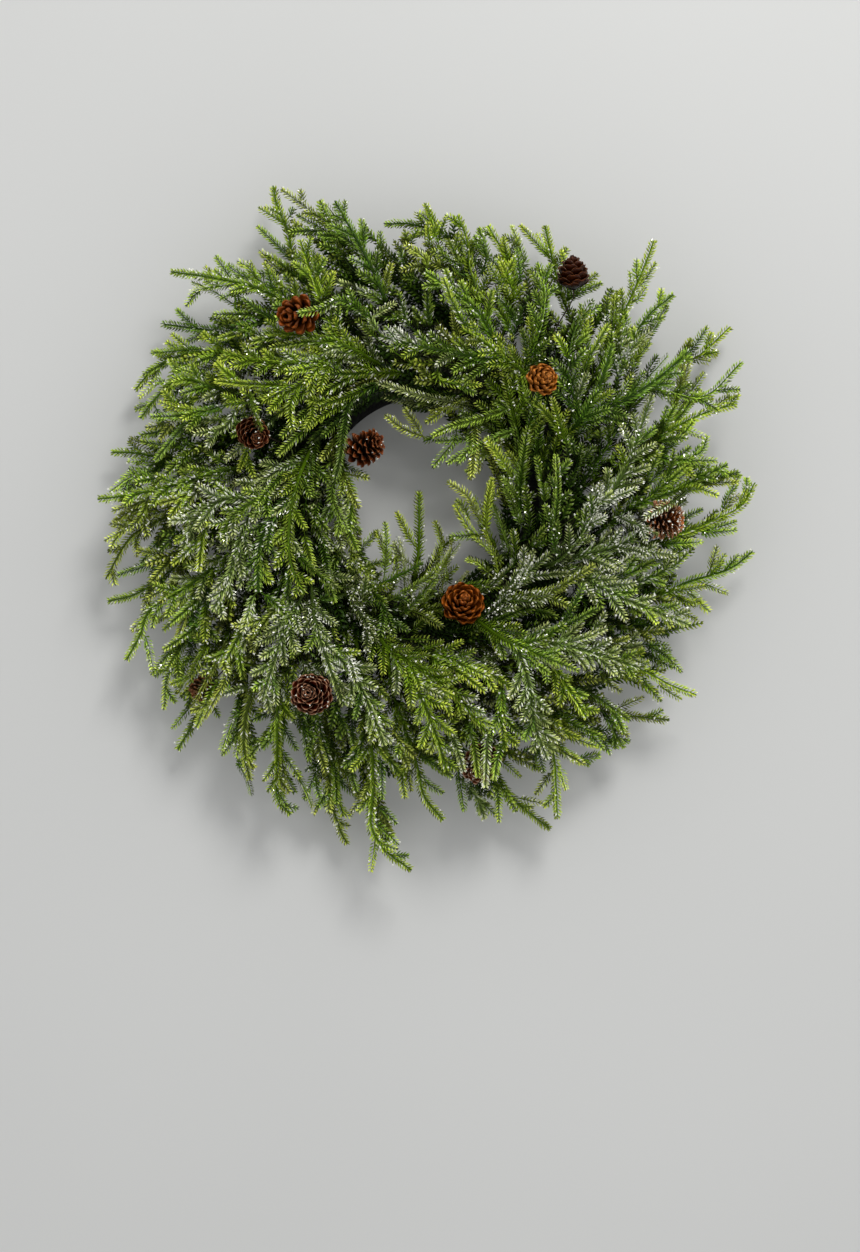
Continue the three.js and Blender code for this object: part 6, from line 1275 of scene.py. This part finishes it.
        # the rims and ends of each scale are paler: partly the scale's own paler rim, partly a painted glint
        edge = np.maximum((np.abs(V) > 0.9) * U**2, np.clip((U - 0.95) / 0.05, 0, 1)) * np.ones_like(U * V)
        along = U * np.ones_like(V)
        g = rng.uniform(0.82, 1.15)
        # painted shade: each scale darkens from its end towards its foot and towards its sides, where the scales
        # overlap, and its underside is darker still
        base = style["dark"] + (style["mid"] - style["dark"]) * (np.clip(along * 1.05, 0, 1) ** style["rise"] * (0.55 + 0.45 * (1 - np.abs(V) ** 2)))[..., None]
        base = base * g
        colr = base * (1 - (edge * style["pale_amount"])[..., None]) + style["pale"] * (edge * style["pale_amount"])[..., None]
        under = base * 0.55
        # the middle of each scale's end, where glitter flakes may sit
        ends.append(pos[-1, NV // 2] + N * thick * 0.4)
        allc = np.concatenate([colr.reshape(-1, 3), under.reshape(-1, 3)])
        ex = np.stack([along, edge, np.full_like(along, rng.random()), (V + 1) / 2 * np.ones_like(U)], -1).reshape(-1, 4)
        soup.add(v, np.vstack(fs), allc, np.concatenate([ex, ex]))
    if style.get("glints"):
        ends = np.array(ends)
        flakes(soup, ends[rng.integers(0, len(ends), style["glints"])] + rng.normal(0, 0.8, (style["glints"], 3)) + [0, 0, 0.5])
    return soup


# pale and pale_amount: the colour and strength of the scales' paler rims and ends, partly their own colour, partly
# painted glint
RED = dict(n=64, low=4, high=80, pow=0.95, wide=0.165, curl=0.16, cup=0.30, lip=-1.3, thick=0.9, tip=0.70, big=1.04, rise=3.0,
           dark=lin(12, 3, 1), mid=lin(96, 38, 12), pale=lin(190, 132, 90), pale_amount=0.6)
CONE_STYLE = {
    # open, with plump orange-brown scales
    "pine_cone_01": dict(RED, n=34, low=-10, high=70, wide=0.15, thick=2.6, lip=-0.5, tip=0.6, mid=lin(156, 76, 14), pale=lin(176, 100, 44), pale_amount=0.4, rise=2.4),
    # an egg of overlapping dark scales
    "pine_cone_02": dict(RED, n=34, bud=2.9, wide=0.29, curl=0.10, cup=0.22, lip=-0.4, thick=0.8, tip=0.62, big=1.10, mid=lin(80, 32, 4), pale=lin(150, 92, 48), pale_amount=0.5, rise=2.4),
    "pine_cone_03": dict(RED, n=34, bud=2.3, wide=0.19, curl=0.20, cup=0.5, thick=2.2, lip=-0.3, tip=0.6, big=1.08, dark=lin(78, 30, 2), mid=lin(196, 116, 30), pale=lin(224, 154, 80), pale_amount=0.4, rise=1.6),
    # shaggy, narrow scales
    "pine_cone_04": dict(RED, n=96, low=-4, high=66, wide=0.075, curl=0.05, tip=0.50, dark=lin(40, 14, 2), mid=lin(190, 104, 30), pale=lin(240, 212, 186), pale_amount=0.75, rise=1.8, glints=60),
    "pine_cone_05": dict(RED, n=60, wide=0.14, glints=40, mid=lin(108, 54, 22), pale=lin(220, 190, 160)),
    # a rosette of thin scales seen from its end
    "pine_cone_06": dict(RED, n=72, low=14, high=84, pow=0.8, wide=0.155, thick=0.6, big=1.08, mid=lin(74, 20, 2), pale=lin(220, 166, 128), pale_amount=0.72, rise=3.4, glints=24),
    "pine_cone_07": dict(RED, n=52, mid=lin(120, 70, 30)),
    "pine_cone_08": dict(RED, n=58, low=8, high=82, wide=0.17, thick=0.6, big=1.08, mid=lin(68, 22, 3), pale=lin(188, 126, 80), pale_amount=0.62, rise=3.4, glints=8),
    # open, thin pointed scales
    "pine_cone_09": dict(RED, n=66, low=-12, high=70, wide=0.12, curl=0.10, lip=-1.8, tip=0.50, big=1.08, mid=lin(112, 50, 14), pale=lin(180, 120, 76), glints=12),
    # closed, plump
    "pine_cone_10": dict(RED, n=38, bud=2.7, wide=0.20, curl=0.22, cup=0.45, thick=1.8, lip=-0.4, tip=0.62, big=1.06, dark=lin(44, 12, 0), mid=lin(168, 86, 14), pale=lin(200, 124, 50), pale_amount=0.3, rise=1.8),
}


# ------------------------------------------------------------------ the flocked ring
def ring_soup():
    soup = Soup()
    na, ns = 360, 30
    mid, half = (RING_IN + RING_OUT) / 2, (RING_OUT - RING_IN) / 2
    sec = []
    for k in range(25):
        a = math.pi * k / 24
        sec.append((mid + half * math.cos(a), RING_TOP * math.sin(a)))
    for k in range(1, 6):
        sec.append((RING_IN + (RING_OUT - RING_IN) * k / 6, 0.0))
    sec = np.array(sec)
    ang = np.arange(na) * 2 * math.pi / na
    bump = RNG.normal(0, 1, (na, ns))
    soft = (bump + np.roll(bump, 1, 0) + np.roll(bump, 1, 1) + np.roll(bump, (1, 1), (0, 1))) / 2
    bump = np.clip(0.30 * bump + 0.35 * soft, -1.0, 1.0)
    r = np.tile(sec[:, 0], (na, 1))
    z = np.tile(sec[:, 1], (na, 1))
    nr = (sec[:, 0] - mid) / half
    nz = sec[:, 1] / RING_TOP
    r = r + nr[None] * (bump * 0.7 - 0.5) * (sec[:, 1] > 0.1)[None]
    z = z + nz[None] * (bump * 0.7 - 0.5) * (sec[:, 1] > 0.1)[None]
    v = np.stack([RING[0] + r * np.cos(ang)[:, None], RING[1] + r * np.sin(ang)[:, None], np.maximum(z, 0)], -1).reshape(-1, 3)
    i = np.arange(na)[:, None] * ns
    i2 = (np.arange(na)[:, None] + 1) % na * ns
    k = np.arange(ns)[None]
    k2 = (k + 1) % ns
    a, b, c, d = (i + k).ravel(), (i2 + k).ravel(), (i2 + k2).ravel(), (i + k2).ravel()
    f = np.vstack([np.stack([a, b, c], 1), np.stack([a, c, d], 1)])
    tone = (0.5 + 0.5 * bump.reshape(-1))[:, None]
    colr = lin(20, 20, 19) * (0.5 + tone)
    soup.add(v, f, colr, np.tile([0, 0, 0.5, 0], (len(v), 1)))
    return soup


# ==== END OF PLAIN GEOMETRY
# ------------------------------------------------------------------ materials
def material(name):
    m = bpy.data.materials.new(name)
    m.use_nodes = True
    nt = m.node_tree
    return m, nt, nt.nodes, nt.links, nt.nodes["Principled BSDF"]


def node(nodes, kind, **values):
    n = nodes.new(kind)
    for k, v in values.items():
        if k in n.inputs:
            n.inputs[k].default_value = v
        else:
            setattr(n, k, v)
    return n


def ramp(nodes, stops, interpolation="LINEAR"):
    r = nodes.new("ShaderNodeValToRGB")
    r.color_ramp.interpolation = interpolation
    e = r.color_ramp.elements
    while len(e) < len(stops):
        e.new(0.5)
    for k, (p, c) in enumerate(stops):
        e[k].position = p
        e[k].color = (c[0], c[1], c[2], 1) if hasattr(c, "__len__") else (c, c, c, 1)
    return r


def varied(nodes, links, bsdf, scale, low, high, detail=3.0):
    """The Hue attribute, lighter and darker by a noise in object space."""
    att = node(nodes, "ShaderNodeAttribute", attribute_name="Hue")
    tex = nodes.new("ShaderNodeTexCoord")
    noise = nodes.new("ShaderNodeTexNoise")
    noise.inputs["Scale"].default_value = scale
    noise.inputs["Detail"].default_value = detail
    links.new(tex.outputs["Object"], noise.inputs["Vector"])
    r = ramp(nodes, [(0.30, low), (0.70, high)])
    links.new(noise.outputs["Fac"], r.inputs["Fac"])
    mix = nodes.new("ShaderNodeMix")
    mix.data_type = "RGBA"
    mix.blend_type = "MULTIPLY"
    mix.inputs["Factor"].default_value = 1.0
    links.new(att.outputs["Color"], mix.inputs["A"])
    links.new(r.outputs["Color"], mix.inputs["B"])
    return mix, noise, tex


def foliage_material(name, frosty):
    m, nt, nodes, links, bsdf = material(name)
    mix, noise, tex = varied(nodes, links, bsdf, 55.0, (0.86, 0.84, 0.80), (1.12, 1.14, 1.10))
    # fine moulding streaks and dust of frost
    fine = nodes.new("ShaderNodeTexNoise")
    fine.inputs["Scale"].default_value = 1400.0
    fine.inputs["Detail"].default_value = 2.0
    links.new(tex.outputs["Object"], fine.inputs["Vector"])
    dust = ramp(nodes, [(0.60 if frosty else 0.66, 0.0), (0.72 if frosty else 0.78, 1.0)])
    links.new(fine.outputs["Fac"], dust.inputs["Fac"])
    part = node(nodes, "ShaderNodeAttribute", attribute_name="Part")
    sep = nodes.new("ShaderNodeSeparateColor")
    links.new(part.outputs["Color"], sep.inputs["Color"])
    amount = node(nodes, "ShaderNodeMath", operation="MULTIPLY")
    links.new(dust.outputs["Color"], amount.inputs[0])
    links.new(sep.outputs["Red"], amount.inputs[1])
    weak = node(nodes, "ShaderNodeMath", operation="MULTIPLY")
    links.new(amount.outputs[0], weak.inputs[0])
    weak.inputs[1].default_value = 0.4 if frosty else 0.10
    over = nodes.new("ShaderNodeMix")
    over.data_type = "RGBA"
    links.new(weak.outputs[0], over.inputs["Factor"])
    links.new(mix.outputs["Result"], over.inputs["A"])
    over.inputs["B"].default_value = (0.62, 0.68, 0.60, 1)
    links.new(over.outputs["Result"], bsdf.inputs["Base Color"])
    rough = ramp(nodes, [(0.3, 0.36), (0.7, 0.52)])
    links.new(fine.outputs["Fac"], rough.inputs["Fac"])
    links.new(rough.outputs["Color"], bsdf.inputs["Roughness"])
    bsdf.inputs["Specular IOR Level"].default_value = 0.10
    bump = nodes.new("ShaderNodeBump")
    bump.inputs["Strength"].default_value = 0.25
    bump.inputs["Distance"].default_value = 0.0002
    links.new(fine.outputs["Fac"], bump.inputs["Height"])
    links.new(bump.outputs["Normal"], bsdf.inputs["Normal"])
    return m


def glitter_material():
    m, nt, nodes, links, bsdf = material("glitter")
    part = node(nodes, "ShaderNodeAttribute", attribute_name="Part")
    sep = nodes.new("ShaderNodeSeparateColor")
    links.new(part.outputs["Color"], sep.inputs["Color"])
    r = ramp(nodes, [(0.0, (0.90, 0.92, 0.82)), (0.6, (0.97, 0.97, 0.90)), (1.0, (1.0, 1.0, 0.93))])
    links.new(sep.outputs["Blue"], r.inputs["Fac"])
    links.new(r.outputs["Color"], bsdf.inputs["Base Color"])
    rr = ramp(nodes, [(0.0, 0.12), (1.0, 0.34)])
    links.new(sep.outputs["Blue"], rr.inputs["Fac"])
    links.new(rr.outputs["Color"], bsdf.inputs["Roughness"])
    bsdf.inputs["Metallic"].default_value = 0.30
    bsdf.inputs["Specular IOR Level"].default_value = 1.0
    return m


def cone_material(name, tan):
    m, nt, nodes, links, bsdf = material(name)
    mix, noise, tex = varied(nodes, links, bsdf, 420.0, (0.72, 0.70, 0.68), (1.22, 1.20, 1.18), 4.0)
    # grain that runs along each scale
    part = node(nodes, "ShaderNodeAttribute", attribute_name="Part")
    wave = nodes.new("ShaderNodeTexNoise")
    wave.inputs["Scale"].default_value = 1.0
    wave.inputs["Detail"].default_value = 2.0
    comb = nodes.new("ShaderNodeCombineXYZ")
    sep = nodes.new("ShaderNodeSeparateColor")
    links.new(part.outputs["Color"], sep.inputs["Color"])
    across = node(nodes, "ShaderNodeMath", operation="MULTIPLY")
    links.new(part.outputs["Alpha"], across.inputs[0])
    across.inputs[1].default_value = 14.0
    length = node(nodes, "ShaderNodeMath", operation="MULTIPLY")
    links.new(sep.outputs["Red"], length.inputs[0])
    length.inputs[1].default_value = 1.6
    which = node(nodes, "ShaderNodeMath", operation="MULTIPLY")
    links.new(sep.outputs["Blue"], which.inputs[0])
    which.inputs[1].default_value = 40.0
    links.new(across.outputs[0], comb.inputs["X"])
    links.new(length.outputs[0], comb.inputs["Y"])
    links.new(which.outputs[0], comb.inputs["Z"])
    links.new(comb.outputs[0], wave.inputs["Vector"])
    gr = ramp(nodes, [(0.30, 0.66), (0.70, 1.20)])
    links.new(wave.outputs["Fac"], gr.inputs["Fac"])
    mul = nodes.new("ShaderNodeMix")
    mul.data_type = "RGBA"
    mul.blend_type = "MULTIPLY"
    mul.inputs["Factor"].default_value = 0.8
    links.new(mix.outputs["Result"], mul.inputs["A"])
    links.new(gr.outputs["Color"], mul.inputs["B"])
    links.new(mul.outputs["Result"], bsdf.inputs["Base Color"])
    rough = ramp(nodes, [(0.3, 0.22), (0.7, 0.40)])
    links.new(noise.outputs["Fac"], rough.inputs["Fac"])
    links.new(rough.outputs["Color"], bsdf.inputs["Roughness"])
    bsdf.inputs["Specular IOR Level"].default_value = 0.14
    bump = nodes.new("ShaderNodeBump")
    bump.inputs["Strength"].default_value = 0.5
    bump.inputs["Distance"].default_value = 0.0004
    links.new(wave.outputs["Fac"], bump.inputs["Height"])
    links.new(bump.outputs["Normal"], bsdf.inputs["Normal"])
    return m


def ring_material():
    m, nt, nodes, links, bsdf = material("black_flock")
    mix, noise, tex = varied(nodes, links, bsdf, 900.0, (0.55, 0.55, 0.55), (1.5, 1.5, 1.45))
    links.new(mix.outputs["Result"], bsdf.inputs["Base Color"])
    bsdf.inputs["Roughness"].default_value = 0.92
    bsdf.inputs["Specular IOR Level"].default_value = 0.2
    bump = nodes.new("ShaderNodeBump")
    bump.inputs["Strength"].default_value = 0.8
    bump.inputs["Distance"].default_value = 0.0006
    links.new(noise.outputs["Fac"], bump.inputs["Height"])
    links.new(bump.outputs["Normal"], bsdf.inputs["Normal"])
    return m


def wire_material():
    m, nt, nodes, links, bsdf = material("dark_wire")
    tex = nodes.new("ShaderNodeTexCoord")
    noise = nodes.new("ShaderNodeTexNoise")
    noise.inputs["Scale"].default_value = 300.0
    links.new(tex.outputs["Object"], noise.inputs["Vector"])
    r = ramp(nodes, [(0.3, (0.030, 0.022, 0.016)), (0.7, (0.075, 0.055, 0.035))])
    links.new(noise.outputs["Fac"], r.inputs["Fac"])
    links.new(r.outputs["Color"], bsdf.inputs["Base Color"])
    bsdf.inputs["Roughness"].default_value = 0.4
    bsdf.inputs["Metallic"].default_value = 0.6
    return m


def floor_material():
    m, nt, nodes, links, bsdf = material("pale_floor")
    tex = nodes.new("ShaderNodeTexCoord")
    noise = nodes.new("ShaderNodeTexNoise")
    noise.inputs["Scale"].default_value = 1.2
    links.new(tex.outputs["Object"], noise.inputs["Vector"])
    r = ramp(nodes, [(0.3, lin(206, 207, 207)), (0.7, lin(211, 212, 212))])
    links.new(noise.outputs["Fac"], r.inputs["Fac"])
    links.new(r.outputs["Color"], bsdf.inputs["Base Color"])
    bsdf.inputs["Roughness"].default_value = 0.75
    bsdf.inputs["Specular IOR Level"].default_value = 0.2
    return m


# ------------------------------------------------------------------ putting it together
GREEN = foliage_material("needles_green", False)
FROSTY = foliage_material("needles_frosted", True)
GLIT = glitter_material()
CONE_RED = cone_material("cone_brown", False)
CONE_TAN = cone_material("cone_tan", True)
FLOCK = ring_material()
WIRE = wire_material()

slots = {s["node"]: s["material_slot"] for s in frame["record"].get("subparts", [])}
total = 0
for name, soup in build_sprays().items():
    frosty = slots.get(name) == "needles_frosted"
    ob = soup.object(name + "_foliage", [FROSTY if frosty else GREEN, GLIT])
    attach(ob, "root")
    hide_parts(name)
    total += soup.tris
print("spray triangles", total)

for k, (name, (at, axis, w, h)) in enumerate(CONES.items()):
    soup = cone_soup(at, axis, w, h, CONE_STYLE[name], 100 + k)
    tan = slots.get(name) == "cone_tan"
    ob = soup.object(name + "_scales", [CONE_TAN if tan else CONE_RED, GLIT], smooth=True)
    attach(ob, "root")
    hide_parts(name)
    total += soup.tris

soup = ring_soup()
ob = soup.object("ring_flock", [FLOCK], smooth=True)
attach(ob, "root")
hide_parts("ring_base")
total += soup.tris
print("all triangles", total)

for name, o in frame["nodes"].items():
    if name.startswith("cone_wire"):
        o.data.materials.clear()
        o.data.materials.append(WIRE)

# ------------------------------------------------------------------ floor, light, camera
bpy.ops.mesh.primitive_plane_add(size=8.0, location=(0, 0, -0.0002))
floor = bpy.context.object
floor.name = "floor"
floor.data.materials.append(floor_material())

world = bpy.data.worlds.new("studio")
bpy.context.scene.world = world
world.use_nodes = True
world.node_tree.nodes["Background"].inputs["Color"].default_value = (0.99, 0.99, 0.98, 1)
# a soft studio: pale walls, a dimmer ceiling
wn, wl = world.node_tree.nodes, world.node_tree.links
way = wn.new("ShaderNodeTexCoord")
part = wn.new("ShaderNodeSeparateXYZ")
wl.new(way.outputs["Generated"], part.inputs["Vector"])
height = wn.new("ShaderNodeMapRange")
height.inputs["From Min"].default_value = 0.0
height.inputs["From Max"].default_value = 1.0
height.inputs["To Min"].default_value = 1.38
height.inputs["To Max"].default_value = 0.26
wl.new(part.outputs["Z"], height.inputs["Value"])
wl.new(height.outputs["Result"], wn["Background"].inputs["Strength"])


def area(name, location, target, size, energy, colour=(1, 1, 1)):
    light = bpy.data.lights.new(name, "AREA")
    light.shape = "DISK"
    light.size = size
    light.energy = energy
    light.color = colour
    o = bpy.data.objects.new(name, light)
    o.location = location
    o.rotation_mode = "QUATERNION"
    o.rotation_quaternion = (Vector(target) - Vector(location)).to_track_quat("-Z", "Y")
    bpy.context.scene.collection.objects.link(o)
    return o


area("key", (0.9, 2.2, 2.0), (0, -0.05, 0), 1.1, 56.0, (1.0, 0.99, 0.96))

cam = bpy.data.cameras.new("camera")
cam.sensor_fit = "AUTO"
cam.sensor_width = 36.0
cam.lens = 18.0 / (0.539 / 2.05)
cam.clip_start, cam.clip_end = 0.05, 30.0
eye = bpy.data.objects.new("camera", cam)
eye.location = (EYE[0] * MM, EYE[1] * MM, EYE[2] * MM)
bpy.context.scene.collection.objects.link(eye)
bpy.context.scene.camera = eye

bpy.context.scene.view_settings.view_transform = "Standard"
bpy.context.scene.view_settings.look = "None"
